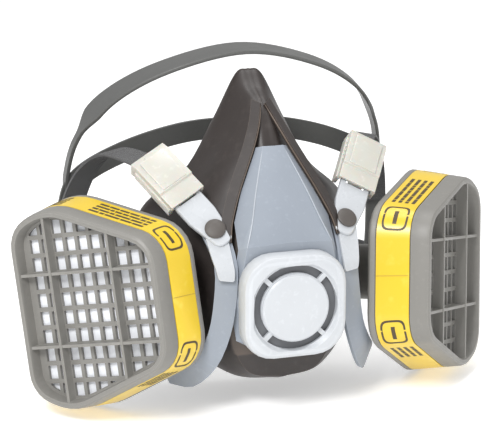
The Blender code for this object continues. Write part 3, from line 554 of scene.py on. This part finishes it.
def mesh_from(name, points, faces):
    """Mesh whose faces all look outwards."""
    mesh = bpy.data.meshes.new(name)
    mesh.from_pydata([tuple(point) for point in points], [], faces)
    edit = bmesh.new()
    edit.from_mesh(mesh)
    bmesh.ops.recalc_face_normals(edit, faces=edit.faces)
    edit.to_mesh(mesh)
    edit.free()
    return mesh


def wall_faces(rows, size, closed=False):
    """Quads between each loop of points and the next."""
    faces = []
    for row in range(rows if closed else rows - 1):
        low = row * size
        high = ((row + 1) % rows) * size
        for index in range(size):
            after = (index + 1) % size
            faces.append((low + index, low + after, high + after, high + index))
    return faces


def loops_mesh(name, loops, closed=False):
    """Skin over loops of equal length, capped unless it closes on itself."""
    size = len(loops[0])
    points = [point for loop in loops for point in loop]
    faces = wall_faces(len(loops), size, closed)
    if not closed:
        faces.append(tuple(range(size)))
        faces.append(tuple((len(loops) - 1) * size + index for index in range(size)))
    return mesh_from(name, points, faces)


def circle(radius, steps):
    """Points round a circle in the XY plane."""
    angles = [2 * math.pi * step / steps for step in range(steps)]
    return [(radius * math.cos(angle), radius * math.sin(angle)) for angle in angles]


def stack_mesh(name, levels, closed=False):
    """Skin over flat outlines, each at its own height."""
    loops = [[Vector((x, y, height)) for x, y in outline] for outline, height in levels]
    return loops_mesh(name, loops, closed)


def turned_mesh(name, profile, closed=True, steps=ROUND_STEPS):
    """Profile of radii and heights, turned round the Z axis."""
    return stack_mesh(name, [(circle(radius, steps), height) for radius, height in profile], closed)


def block_mesh(low, high):
    """Box between two opposite corners."""
    corners = [(low[0], low[1]), (high[0], low[1]), (high[0], high[1]), (low[0], high[1])]
    return stack_mesh("block", [(corners, low[2]), (corners, high[2])])


def tube_mesh(name, path, radius, sides=TUBE_SIDES):
    """Round tube that tapers at both ends."""
    loops = []
    for index, centre in enumerate(path):
        along = direction_at(path, index).normalized()
        side = along.cross(TUBE_REFERENCE).normalized()
        up = side.cross(along)
        share = min(index, len(path) - 1 - index) / TAPER_STEPS
        size = radius * (TAPER_END + (1 - TAPER_END) * min(share, 1))
        loops.append([centre + (side * x + up * y) for x, y in circle(size, sides)])
    return loops_mesh(name, loops)


def ribbon_mesh(name, path, across, thickness):
    """Band with rounded edges and a weave UV map, u along it and v across it, in millimetres."""
    section = [*BAND_SECTION, *((-x, -y) for x, y in BAND_SECTION)]
    loops = []
    for index, centre in enumerate(path):
        half_width = across[index] / 2
        half_depth = direction_at(path, index).cross(half_width).normalized() * thickness / 2
        loops.append([centre + half_width * x + half_depth * y for x, y in section])
    mesh = loops_mesh(name, loops)
    weave = mesh.uv_layers.new(name="weave")
    lengths = [0.0]
    for before, after in zip(path, path[1:]):
        lengths.append(lengths[-1] + (after - before).length / MM)
    width = across[0].length / MM
    for loop in mesh.loops:
        row, column = divmod(loop.vertex_index, len(section))
        weave.data[loop.index].uv = (lengths[row], section[column][0] * width / 2)
    return mesh


def merged(name, meshes):
    """One mesh that holds several."""
    edit = bmesh.new()
    for mesh in meshes:
        edit.from_mesh(mesh)
    result = bpy.data.meshes.new(name)
    edit.to_mesh(result)
    edit.free()
    return result


def triangulated(source):
    """Copy of a mesh with every face split into triangles."""
    edit = bmesh.new()
    edit.from_mesh(source)
    bmesh.ops.triangulate(edit, faces=edit.faces)
    result = bpy.data.meshes.new(source.name)
    edit.to_mesh(result)
    edit.free()
    return result


# ---------------------------------------------------------------- pieces


def in_scene(name, data):
    """New object in the scene that holds the data."""
    made = bpy.data.objects.new(name, data)
    bpy.context.scene.collection.objects.link(made)
    return made


def baked(piece):
    """Applies an object's modifiers to its mesh."""
    graph = bpy.context.evaluated_depsgraph_get()
    mesh = bpy.data.meshes.new_from_object(piece.evaluated_get(graph))
    piece.modifiers.clear()
    piece.data = mesh
    return piece


def rounded(piece, width, segments, angle):
    """Rounds the edges of an object that are sharper than the angle in degrees."""
    modifier = piece.modifiers.new("edges", "BEVEL")
    modifier.width = width
    modifier.segments = segments
    modifier.limit_method = "ANGLE"
    modifier.angle_limit = math.radians(angle)
    return baked(piece)


def cut(mesh, tool_mesh):
    """Boolean difference of two closed meshes."""
    body = in_scene(mesh.name, triangulated(mesh))
    tool = in_scene(tool_mesh.name, triangulated(tool_mesh))
    modifier = body.modifiers.new("cut", "BOOLEAN")
    modifier.operation = "DIFFERENCE"
    modifier.object = tool
    result = baked(body).data
    bpy.data.objects.remove(body)
    bpy.data.objects.remove(tool)
    return result


def drilled(mesh, radius, reach, place):
    """Cuts a round hole along the Z axis of a frame."""
    tool = turned_mesh("drill", [(radius, -reach), (radius, reach)], closed=False)
    tool.transform(place)
    return cut(mesh, tool)


def refined_copy(node, bevel, segments, angle):
    """Welded copy of a solid, with its edges rounded over."""
    mesh = NODES[node].data.copy()
    mesh.materials.clear()
    edit = bmesh.new()
    edit.from_mesh(mesh)
    bmesh.ops.remove_doubles(edit, verts=edit.verts, dist=WELD_DISTANCE)
    bmesh.ops.dissolve_limit(edit, angle_limit=FLAT_ANGLE, verts=edit.verts, edges=edit.edges)
    edit.to_mesh(mesh)
    edit.free()
    if "custom_normal" in mesh.attributes:
        mesh.attributes.remove(mesh.attributes["custom_normal"])
    return rounded(in_scene(f"{node}_refined", mesh), bevel, segments, angle)


def add_piece(name, shape, material, body, replaced=(), smooth=35):
    """Makes a piece of a mesh or an object. Where it has no body, it is attached to none."""
    piece = shape if isinstance(shape, bpy.types.Object) else in_scene(name, shape)
    piece.name = name
    piece.data.materials.clear()
    piece.data.materials.append(MATERIALS[material])
    piece.data.shade_smooth()
    piece.data.set_sharp_from_angle(angle=math.radians(smooth))
    if body:
        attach(piece, body)
    if replaced:
        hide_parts(*replaced)
    return piece


def add_refined(node, name, material, body, slot, bevel, segments=2, angle=30, smooth=35):
    """Shows a copy of a solid with its edges rounded, by a bevel in millimetres, in its place."""
    piece = refined_copy(node, bevel * MM, segments, angle)
    add_piece(name, piece, material, body, [node], smooth)


def paint(node, material):
    """Gives a solid that is shown as it is its own material."""
    mesh = NODES[node].data
    mesh.materials.clear()
    mesh.materials.append(MATERIALS[material])


# ---------------------------------------------------------------- studio


def add_floor():
    """Plain pale floor just below the mask."""
    height = CAD_BOX[0][2] - FLOOR_GAP
    corners = [(-FLOOR_REACH, -FLOOR_REACH), (FLOOR_REACH, -FLOOR_REACH)]
    corners += [(FLOOR_REACH, FLOOR_REACH), (-FLOOR_REACH, FLOOR_REACH)]
    mesh = bpy.data.meshes.new("floor")
    mesh.from_pydata([(x, y, height) for x, y in corners], [], [(0, 1, 2, 3)])
    mesh.materials.append(floor_material())
    floor = in_scene("floor", mesh)


def add_light():
    """White surroundings and three soft lamps that face the mask."""
    world = bpy.data.worlds.new("studio")
    world.use_nodes = True
    background = world.node_tree.nodes["Background"]
    background.inputs["Color"].default_value = (1.0, 1.0, 1.0, 1)
    background.inputs["Strength"].default_value = WORLD_LIGHT
    bpy.context.scene.world = world
    bpy.context.scene.view_settings.view_transform = "Standard"
    for name, place, size, power in LAMPS:
        light = bpy.data.lights.new(name, "AREA")
        light.size = size
        light.energy = power
        lamp = in_scene(name, light)
        lamp.location = place
        lamp.rotation_euler = (-Vector(place)).to_track_quat("-Z", "Y").to_euler()


def add_camera():
    """Camera in front, a little above and towards the wearer's right."""
    lens = bpy.data.cameras.new("camera")
    lens.lens = CAMERA_LENS
    lens.sensor_width = CAMERA_SENSOR
    camera = in_scene("camera", lens)
    level = math.cos(CAMERA_ELEVATION)
    sideways = math.sin(CAMERA_AZIMUTH) * level
    forwards = math.cos(CAMERA_AZIMUTH) * level
    away = Vector((sideways, -forwards, math.sin(CAMERA_ELEVATION)))
    camera.location = CAMERA_TARGET + away * CAMERA_DISTANCE
    camera.rotation_euler = (-away).to_track_quat("-Z", "Y").to_euler()
    bpy.context.scene.camera = camera


# ---------------------------------------------------------------- facepiece


def facepiece_rings():
    """Half outlines from the nose to the chin, front wall first, then the seal."""
    front = [(0, -39, 40), (4, -41.5, 36), (8, -45, 26), (14, -48, 17), (21, -51, 8)]
    front += [(24, -60, -22), (25, -57.5, -43), (17, -57, -60), (0, -57, -64)]
    middle = [(0, -26, 59), (4.5, -27.5, 56), (14, -29.5, 40), (25, -32.8, 25), (34, -36.8, 10)]
    middle += [(41, -37, -22), (37, -42, -47), (22, -44, -64.5), (0, -44, -68.5)]
    rear = [(0, -12, 67), (6.5, -12.5, 64.5), (16.5, -13, 46), (28, -13.5, 28), (43, -14, 11)]
    rear += [(51, -14, -20), (49, -17, -46), (27, -21, -64), (0, -23, -69.5)]
    edge = [(0, -3, 74), (6.5, -3, 71.5), (17.5, -2, 50), (31, 0, 26), (51, 6, 7)]
    edge += [(56.5, 10, -17), (52, 6, -42), (29, -4, -62), (0, -8, -68)]
    seal = [(0, -6, 63), (4, -6, 61), (12, -5, 43), (23, -2, 25), (37, 0, 8)]
    seal += [(44, 6, -17), (40, 2, -37), (23, -7, -53), (0, -12, -59)]
    return [millimetres(ring) for ring in (front, middle, rear, edge, seal)]


def shrunk(half, distance, backwards):
    """Half outline moved towards the middle of the mask, and back."""
    points = []
    for point in half:
        inward = Vector((-point.x, 0, MASK_CENTRE_HEIGHT - point.z)).normalized() * distance
        inward.x = max(inward.x, -point.x)
        points.append(point + inward + Vector((0, backwards, 0)))
    return points


def facepiece_stations():
    """Half outlines in order: from the front inside the cup, round the seal, to the front outside."""
    front, middle, rear, edge, seal = facepiece_rings()
    thick = RUBBER_THICKNESS
    inside = [
        shrunk(front, thick, thick),
        shrunk(middle, thick, MIDDLE_SETBACK * thick),
        shrunk(rear, thick, 0),
        shrunk(edge, thick, -thick),
    ]
    rolled_seal = [point + Vector((0, SEAL_ROLL, 0)) for point in seal]
    return [*inside, seal, rolled_seal, edge, rear, middle, front]


def cap_strips(base, size):
    """Faces that close a symmetrical loop of points, in strips from side to side."""
    faces = []
    for index in range(size // 2):
        strip = [index, index + 1, (size - index - 1) % size, (size - index) % size]
        faces.append(tuple(base + corner for corner in dict.fromkeys(strip)))
    return faces


def facepiece_mesh():
    """Rubber cup with a smoothly rolled seal lip, one dense skin inside and out."""
    columns = [smooth_path(list(column), SHORT_PATH_STEPS) for column in zip(*facepiece_stations())]
    loops = []
    for row in zip(*columns):
        half = smooth_path(list(row))
        half[0].x = half[-1].x = 0
        loops.append(half + [Vector((-point.x, point.y, point.z)) for point in reversed(half[1:-1])])
    size = len(loops[0])
    faces = wall_faces(len(loops), size)
    faces += cap_strips(0, size)
    faces += cap_strips((len(loops) - 1) * size, size)
    return mesh_from("facepiece", [point for loop in loops for point in loop], faces)


def port_frame(name):
    """Frame of a cartridge's air port, with Z along the cartridge's axis."""
    outward = Vector(MOUNTS[f"cartridge_rim_{name}"]["axis"])
    low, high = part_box(f"air_port_{name}")
    centre = (Vector(low) + Vector(high)) / 2
    return Matrix.Translation(centre) @ outward.to_track_quat("Z", "Y").to_matrix().to_4x4()


def valve_frame(depth=0.0):
    """Frame on the valve's axis, with Z forwards, at a depth behind the cover's front."""
    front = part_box("valve_cover")[0][1]
    height = MOUNTS["valve_disc"]["pos_m"][2]
    return Matrix.Translation((0, front + depth, height)) @ Matrix.Rotation(math.pi / 2, 4, "X")


def add_facepiece():
    """Rubber cup with the holes for the valve and the two air ports."""
    mesh = drilled(facepiece_mesh(), VALVE_HOLE_RADIUS, VALVE_HOLE_REACH, valve_frame(VALVE_HOLE_DEPTH))
    for name in SIDES:
        mesh = drilled(mesh, PORT_HOLE_RADIUS, PORT_HOLE_REACH, port_frame(name))
    add_piece("facepiece_rubber", mesh, "rubber", "root", ["facepiece"], 50)


def add_rubber_collar():
    """Raised rubber edge down each side of the rigid nose, with a paler lip painted as a highlight."""
    x, y, z = COLLAR_SLOPE
    for name, side in SIDES.items():
        path = smooth_path(sided(COLLAR_ROUTE, side), SHORT_PATH_STEPS)
        outwards = Vector((side * x, y, z)).normalized()
        across = [outwards * COLLAR_WIDTH] * len(path)
        middle = [point + outwards * COLLAR_OFFSET for point in path]
        collar = ribbon_mesh(f"collar_{name}", middle, across, COLLAR_THICKNESS)
        add_piece(f"rubber_collar_{name}", collar, "rubber", "root")
        lip = tube_mesh(f"lip_{name}", path, LIP_RADIUS)
        add_piece(f"rubber_lip_highlight_{name}", lip, "lip", "root")


# ---------------------------------------------------------------- front shell and valve


def add_tongue(name, side):
    """Pale tongue that covers the shell below a rivet."""
    path = smooth_path(sided(TONGUE_ROUTE, side), SHORT_PATH_STEPS)
    count = len(path) - 1
    shares = [(index / count) ** TONGUE_NARROWING_POWER for index in range(count + 1)]
    widths = [TONGUE_WIDTH - TONGUE_NARROWING * share for share in shares]
    widths[-1] *= TONGUE_END_SHARE
    x, y, z = TONGUE_SLOPE
    across = [Vector((side * x, y, z)).normalized() * width for width in widths]
    tongue = ribbon_mesh(f"tongue_{name}", path, across, TONGUE_THICKNESS)
    add_piece(f"shell_tongue_{name}", tongue, "arm", "root")


def add_creases(name, side):
    """Thin raised lines down one side of the nose, pale as painted highlights on its creases."""
    for index, route in enumerate(SHELL_CREASES):
        path = smooth_path(sided(route, side), SHORT_PATH_STEPS)
        bead = tube_mesh("crease", path, CREASE_RADIUS, CREASE_SIDES)
        add_piece(f"shell_crease_{name}_{index}", bead, "crease", "root")


def add_front_shell():
    """Rigid nose and struts, with what is moulded on them."""
    plastic = ("shell", "root", "shell_plastic")
    add_refined("front_shell", "shell_refined", *plastic, bevel=0.45, segments=3, angle=24)
    for name, side in SIDES.items():
        add_tongue(name, side)
        add_creases(name, side)


def add_valve():
    """Cover with a floor behind its slots, dark as painted shade, and the seat and flap under it."""
    cover = "valve_cover"
    plastic = ("cover", cover, "cover_plastic")
    add_refined(cover, "valve_cover_cap", *plastic, bevel=0.35, segments=3, angle=32)
    profile = [(GROOVE_INNER, GROOVE_FRONT), (GROOVE_OUTER, GROOVE_FRONT)]
    profile += [(GROOVE_OUTER, GROOVE_BACK), (GROOVE_INNER, GROOVE_BACK)]
    groove = turned_mesh("groove", profile, steps=GROOVE_STEPS)
    groove.transform(valve_frame())
    add_piece("valve_groove_painted_shade", groove, "shadow", cover)
    seat = "exhalation_seat"
    add_refined(seat, f"{seat}_ring", "arm", "root", "shell_plastic", bevel=0.2)
    flap = "exhalation_flap"
    add_refined(flap, f"{flap}_disc", "silicone", flap, "flap_silicone", bevel=0.15)


# ---------------------------------------------------------------- cartridges


def hull_chain(points):
    """Lower convex chain of points sorted by x."""
    chain = []
    for point in points:
        while len(chain) > 1:
            (ax, ay), (bx, by) = chain[-2:]
            turn = (bx - ax) * (point[1] - ay) - (by - ay) * (point[0] - ax)
            if turn > 0:
                break
            chain.pop()
        chain.append(point)
    return chain


class LabelWrap:
    """The label's outer surface, measured along its outline and across its depth."""

    def __init__(self, name):
        downwards = Vector((0, 0, -1))
        self.outward = Vector(MOUNTS[f"cartridge_rim_{name}"]["axis"]).normalized()
        self.down = (downwards - self.outward * self.outward.dot(downwards)).normalized()
        self.inward = self.down.cross(self.outward) * SIDES[name]
        points = [vertex.co for vertex in NODES[f"cartridge_label_{name}"].data.vertices]
        depths = [point.dot(self.outward) for point in points]
        self.front_depth = max(depths)
        self.back_depth = min(depths)
        self.front = self.outline(points, self.front_depth)
        self.back = self.outline(points, self.back_depth)

    def outline(self, points, depth):
        """Closed convex outline of the points at one depth, starting from its top."""
        level = [point for point in points if abs(point.dot(self.outward) - depth) < OUTLINE_TOLERANCE]
        flat = [(point.dot(self.inward), point.dot(self.down)) for point in level]
        flat = sorted({(round(x, 6), round(y, 6)) for x, y in flat})
        ring = hull_chain(flat)[:-1] + hull_chain(flat[::-1])[:-1]
        top = min(range(len(ring)), key=lambda index: ring[index][1])
        return [Vector(corner) for corner in ring[top:] + ring[: top + 1]]

    def length(self):
        """Distance once round the front edge."""
        return sum((b - a).length for a, b in zip(self.front, self.front[1:]))

    def along(self, outline, share):
        """Point and outward normal at a share of the way round."""
        lengths = [(b - a).length for a, b in zip(outline, outline[1:])]
        left = (share % 1.0) * sum(lengths)
        for index, length in enumerate(lengths):
            if left <= length:
                break
            left -= length
        a, b = outline[index], outline[index + 1]
        tangent = (b - a).normalized()
        return a + tangent * left, Vector((tangent.y, -tangent.x))

    def point(self, share, depth, lift):
        """World point: depth runs from 0 at the front edge to 1 at the back edge."""
        front, front_normal = self.along(self.front, share)
        back, back_normal = self.along(self.back, share)
        flat = front.lerp(back, depth) + front_normal.lerp(back_normal, depth).normalized() * lift
        height = self.front_depth + (self.back_depth - self.front_depth) * depth
        return self.inward * flat.x + self.down * flat.y + self.outward * height


def bar_mark(wrap, span, depths, steps):
    """Printed bar between two shares round the label and two depths."""
    start, end = span
    near, far = depths
    corners = [(near, INK_LOW), (near, INK_HIGH), (far, INK_HIGH), (far, INK_LOW)]
    loops = []
    for step in range(steps + 1):
        share = start + (end - start) * step / steps
        loops.append([wrap.point(share, depth, lift) for depth, lift in corners])
    return loops_mesh("bar", loops)


def box_mark(wrap, span, depths):
    """Printed rounded rectangle, as an outline."""
    middle_share = sum(span) / 2
    middle_depth = sum(depths) / 2
    half_share = (span[1] - span[0]) / 2
    half_depth = (depths[1] - depths[0]) / 2
    inner_share = half_share - BOX_LINE / (wrap.length() / (wrap.front_depth - wrap.back_depth))
    inner_depth = half_depth - BOX_LINE
    loops = []
    for x, y in circle(1, BOX_STEPS):
        x = math.copysign(abs(x) ** BOX_CORNER_POWER, x)
        y = math.copysign(abs(y) ** BOX_CORNER_POWER, y)
        outer = (middle_share + x * half_share, middle_depth + y * half_depth)
        inner = (middle_share + x * inner_share, middle_depth + y * inner_depth)
        corners = [(*outer, INK_LOW), (*outer, INK_HIGH), (*inner, INK_HIGH), (*inner, INK_LOW)]
        loops.append([wrap.point(*corner) for corner in corners])
    return loops_mesh("box", loops, closed=True)


def dash_row(wrap, start, end, depth, seed):
    """Row of printed dashes of varied lengths."""
    marks = []
    place = start
    draw = seed
    while place < end:
        draw = (draw * 7 + 3) % 11
        length = DASH_SHORTEST + DASH_GROWTH * draw
        span = (place, min(place + length, end))
        marks.append(bar_mark(wrap, span, (depth, depth + DASH_HEIGHT), DASH_STEPS))
        place += length + DASH_GAP
    return marks


def add_label_marks(name):
    """Generic print: rows of dashes, two rounded boxes with a bar inside, and a seam line."""
    wrap = LabelWrap(name)
    marks = []
    for row in range(DASH_ROWS):
        depth = DASH_FIRST_DEPTH + DASH_ROW_PITCH * row
        for start, end, seed in DASH_COLUMNS:
            marks += dash_row(wrap, start, end, depth, row + seed)
    for start, end in BOX_SPANS:
        marks.append(box_mark(wrap, (start, end), BOX_DEPTHS))
        bar_span = (start + BOX_BAR_INSET, end - BOX_BAR_INSET)
        marks.append(bar_mark(wrap, bar_span, BOX_BAR_DEPTHS, BOX_BAR_STEPS))
    add_piece(f"label_print_{name}", merged("print", marks), "ink", "root")
    seam = bar_mark(wrap, SEAM_SPAN, SEAM_DEPTHS, 1)
    add_piece(f"label_seam_{name}", seam, "seam", "root")


def add_cartridge(name):
    """Bezel with its grille, tub, label, port and flap, and what shows or lies inside."""
    plastic = ("cartridge", "root", "cartridge_plastic")
    film = ("label", "root", "label_film")
    felt = ("felt", "root", "filter_felt")
    cover = f"cartridge_cover_{name}"
    add_refined(cover, f"bezel_grille_{name}", *plastic, bevel=0.22, angle=35, smooth=30)
    add_refined(f"cartridge_tub_{name}", f"tub_{name}", *plastic, bevel=0.35, angle=40)
    label = f"cartridge_label_{name}"
    add_refined(label, f"label_band_{name}", *film, bevel=0.08, segments=1, angle=60)
    add_refined(f"air_port_{name}", f"port_tube_{name}", *plastic, bevel=0.3)
    flap = f"inhalation_flap_{name}"
    add_refined(flap, f"inhalation_disc_{name}", "silicone", flap, "flap_silicone", bevel=0.15)
    add_refined(f"filter_pad_{name}", f"felt_{name}", *felt, bevel=0.2, angle=40)
    add_label_marks(name)
    paint(f"carbon_bed_{name}", "carbon")
    paint(f"retaining_screen_{name}", "felt")


# ---------------------------------------------------------------- arms and buckles


def add_arm(name):
    """Arm plate, the rivet it turns on, and the buckle hung in it."""
    arm = ("arm", f"arm_{name}", "arm_plastic")
    add_refined(f"strap_arm_{name}", f"arm_plate_{name}", *arm, bevel=0.4, segments=3)
    rivet = ("rivet", "root", "rivet_plastic")
    round_edge = {"bevel": 0.25, "segments": 3, "angle": 20, "smooth": 50}
    add_refined(f"arm_rivet_{name}", f"rivet_{name}", *rivet, **round_edge)
    nylon = ("buckle", f"buckle_{name}", "buckle_plastic")
    add_refined(f"strap_buckle_{name}", f"buckle_{name}_nylon", *nylon, bevel=0.45, segments=3)
    add_buckle_details(name)


def buckle_frame(name):
    """Frame of a buckle's hinge: Y up the buckle, Z out of its front."""
    side = SIDES[name]
    hinge = JOINTS[f"buckle_swing_{name}"]
    across = Vector(hinge["axis"]).normalized()
    outward = Vector(JOINTS[f"arm_swing_{name}"]["axis"]).normalized()
    if outward.y > 0:
        outward.negate()
    if across.x * side < 0:
        across.negate()
    up = outward.cross(across) * side
    if up.z < 0:
        up.negate()
    rotation = Matrix((across, up, outward)).transposed().to_4x4()
    return Matrix.Translation(hinge["pos_m"]) @ rotation


def buckle_rails(low, high, middle, half):
    """Rail along each side of the channel."""
    rails = []
    for side in (-1, 1):
        edge = middle.x + side * (half - RAIL_INSET)
        rail_low = (edge - RAIL_HALF_WIDTH, low.y + RAIL_BOTTOM, low.z + RAIL_BACK)
        rail_high = (edge + RAIL_HALF_WIDTH, high.y - RAIL_TOP, high.z - RAIL_FRONT)
        rails.append(block_mesh(rail_low, rail_high))
    return rails


def buckle_pad(low, high, middle, half):
    """Raised pad on the buckle's front."""
    pad_low = (middle.x - half + PAD_MARGIN, low.y + PAD_BOTTOM, high.z - PAD_ROOT)
    pad_high = (middle.x + half - PAD_MARGIN, high.y - PAD_TOP, high.z + PAD_RISE)
    return block_mesh(pad_low, pad_high)


def buckle_ribs(high, middle, half):
    """Gripping ribs down one side."""
    ribs = []
    for rib in range(RIB_COUNT):
        start = high.y - RIB_FIRST - rib * RIB_PITCH
        rib_low = (middle.x - half - RIB_OUT, start, high.z - RIB_BACK)
        rib_high = (middle.x - half + RIB_IN, start + RIB_HEIGHT, high.z - RIB_FRONT)
        ribs.append(block_mesh(rib_low, rib_high))
    return ribs


def add_buckle_details(name):
    """Rails, pad and ribs moulded on the buckle."""
    place = buckle_frame(name)
    back = place.inverted()
    points = [back @ vertex.co for vertex in NODES[f"strap_buckle_{name}"].data.vertices]
    low = Vector([min(point[axis] for point in points) for axis in range(3)])
    high = Vector([max(point[axis] for point in points) for axis in range(3)])
    middle = (low + high) / 2
    half = (high.x - low.x) / 2
    parts = buckle_rails(low, high, middle, half)
    parts.append(buckle_pad(low, high, middle, half))
    parts += buckle_ribs(high, middle, half)
    body = f"buckle_{name}"
    for index, part in enumerate(parts):
        part.transform(place)
        detail = rounded(in_scene("detail", part), DETAIL_BEVEL, segments=3, angle=30)
        add_piece(f"{body}_detail_{index}", detail, "buckle", body)


# ---------------------------------------------------------------- harness


def rear_band():
    """Narrow band behind the head, with a leg down each side."""
    path = mirrored_path(REAR_BAND_ROUTE)
    across = []
    for index in range(len(path)):
        upright = Vector((0, 1, 0)).cross(direction_at(path, index))
        across.append(upright.normalized() * REAR_BAND_WIDTH)
    return ribbon_mesh("rear_band", path, across, BAND_THICKNESS)


def crown_band():
    """Wide band over the top of the head, drawn in to a narrow leg on each side."""
    path = mirrored_path(CROWN_BAND_ROUTE)
    middle = (len(path) - 1) // 2
    across = []
    for index in range(middle + 1):
        place = index / middle
        share = (place - CROWN_LEG_END) / (CROWN_WIDE_START - CROWN_LEG_END)
        share = min(max(share, 0.0), 1.0)
        share = 3 * share**2 - 2 * share**3
        width = CROWN_LEG_WIDTH + (CROWN_BAND_WIDTH - CROWN_LEG_WIDTH) * share
        flare = CROWN_FLARE * share * (1 - place)
        across.append(Vector((flare, 1, CROWN_TILT * share)).normalized() * width)
    across += [Vector((-width.x, width.y, width.z)) for width in reversed(across[:-1])]
    return ribbon_mesh("crown_band", path, across, BAND_THICKNESS)


def add_side_strap(name, side):
    """Webbing from the buckle's bar to the harness leg: a tail, a bend and a run.

    The tail ends two spans along the path and the bend four. The run goes on to the end.
    """
    place = buckle_frame(name)
    inside = [place @ point for point in millimetres(STRAP_IN_BUCKLE)]
    path = smooth_path(inside + sided(STRAP_BEHIND, side))
    first = place.col[0].to_3d().normalized()
    last = Vector((side, STRAP_END_SLOPE, 0))
    across = []
    for index in range(len(path)):
        direction = first.lerp(last, index / (len(path) - 1))
        across.append(direction.normalized() * STRAP_WIDTH)
    node = f"side_strap_{name}"
    tail_end = 2 * PATH_STEPS
    tail = ribbon_mesh("tail", path[: tail_end + 1], across, STRAP_THICKNESS * TAIL_THINNING)
    add_piece(f"{node}_tail", tail, "webbing", f"buckle_{name}")
    bend_end = 4 * PATH_STEPS
    bend_part = slice(tail_end - STRAP_LAP, bend_end + 1)
    bend = ribbon_mesh("bend", path[bend_part], across[bend_part], STRAP_THICKNESS * BEND_THINNING)
    piece = add_piece(f"{node}_bend", bend, "webbing", None)
    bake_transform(piece)
    run_part = slice(bend_end - STRAP_LAP, None)
    run = ribbon_mesh("run", path[run_part], across[run_part], STRAP_THICKNESS)
    piece = add_piece(f"{node}_webbing", run, "webbing", None, [node])
    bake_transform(piece)


def add_neck_straps():
    """Level strap from each leg of the cradle to the clasp behind the neck."""
    for name, end, body in NECK_ENDS:
        path = smooth_path(millimetres([*NECK_ROUTE, end]))
        side = SIDES[name]
        path = [Vector((side * point.x, point.y, point.z + NECK_HEIGHT)) for point in path]
        across = [Vector((0, 0, STRAP_WIDTH))] * len(path)
        strap = ribbon_mesh("neck_strap", path, across, STRAP_THICKNESS)
        node = f"neck_strap_{name}"
        add_piece(f"{node}_webbing", strap, "webbing", body, [node])


def add_harness():
    """Head cradle, side straps, and neck straps with their clasp."""
    add_piece("cradle_rear_band", rear_band(), "band", "harness", ["head_cradle"], 40)
    add_piece("cradle_crown_band", crown_band(), "band", "harness", (), 40)
    for name, side in SIDES.items():
        add_side_strap(name, side)
    add_neck_straps()
    for node, body in (("clasp_loop", "harness"), ("clasp_hook", "neck_half")):
        plastic = ("clasp", body, "clasp_plastic")
        add_refined(node, f"{node}_moulding", *plastic, bevel=0.5, segments=3)


add_floor()
add_light()
add_camera()
add_facepiece()
add_rubber_collar()
add_front_shell()
add_valve()
for side_name in SIDES:
    add_cartridge(side_name)
for side_name in SIDES:
    add_arm(side_name)
add_harness()
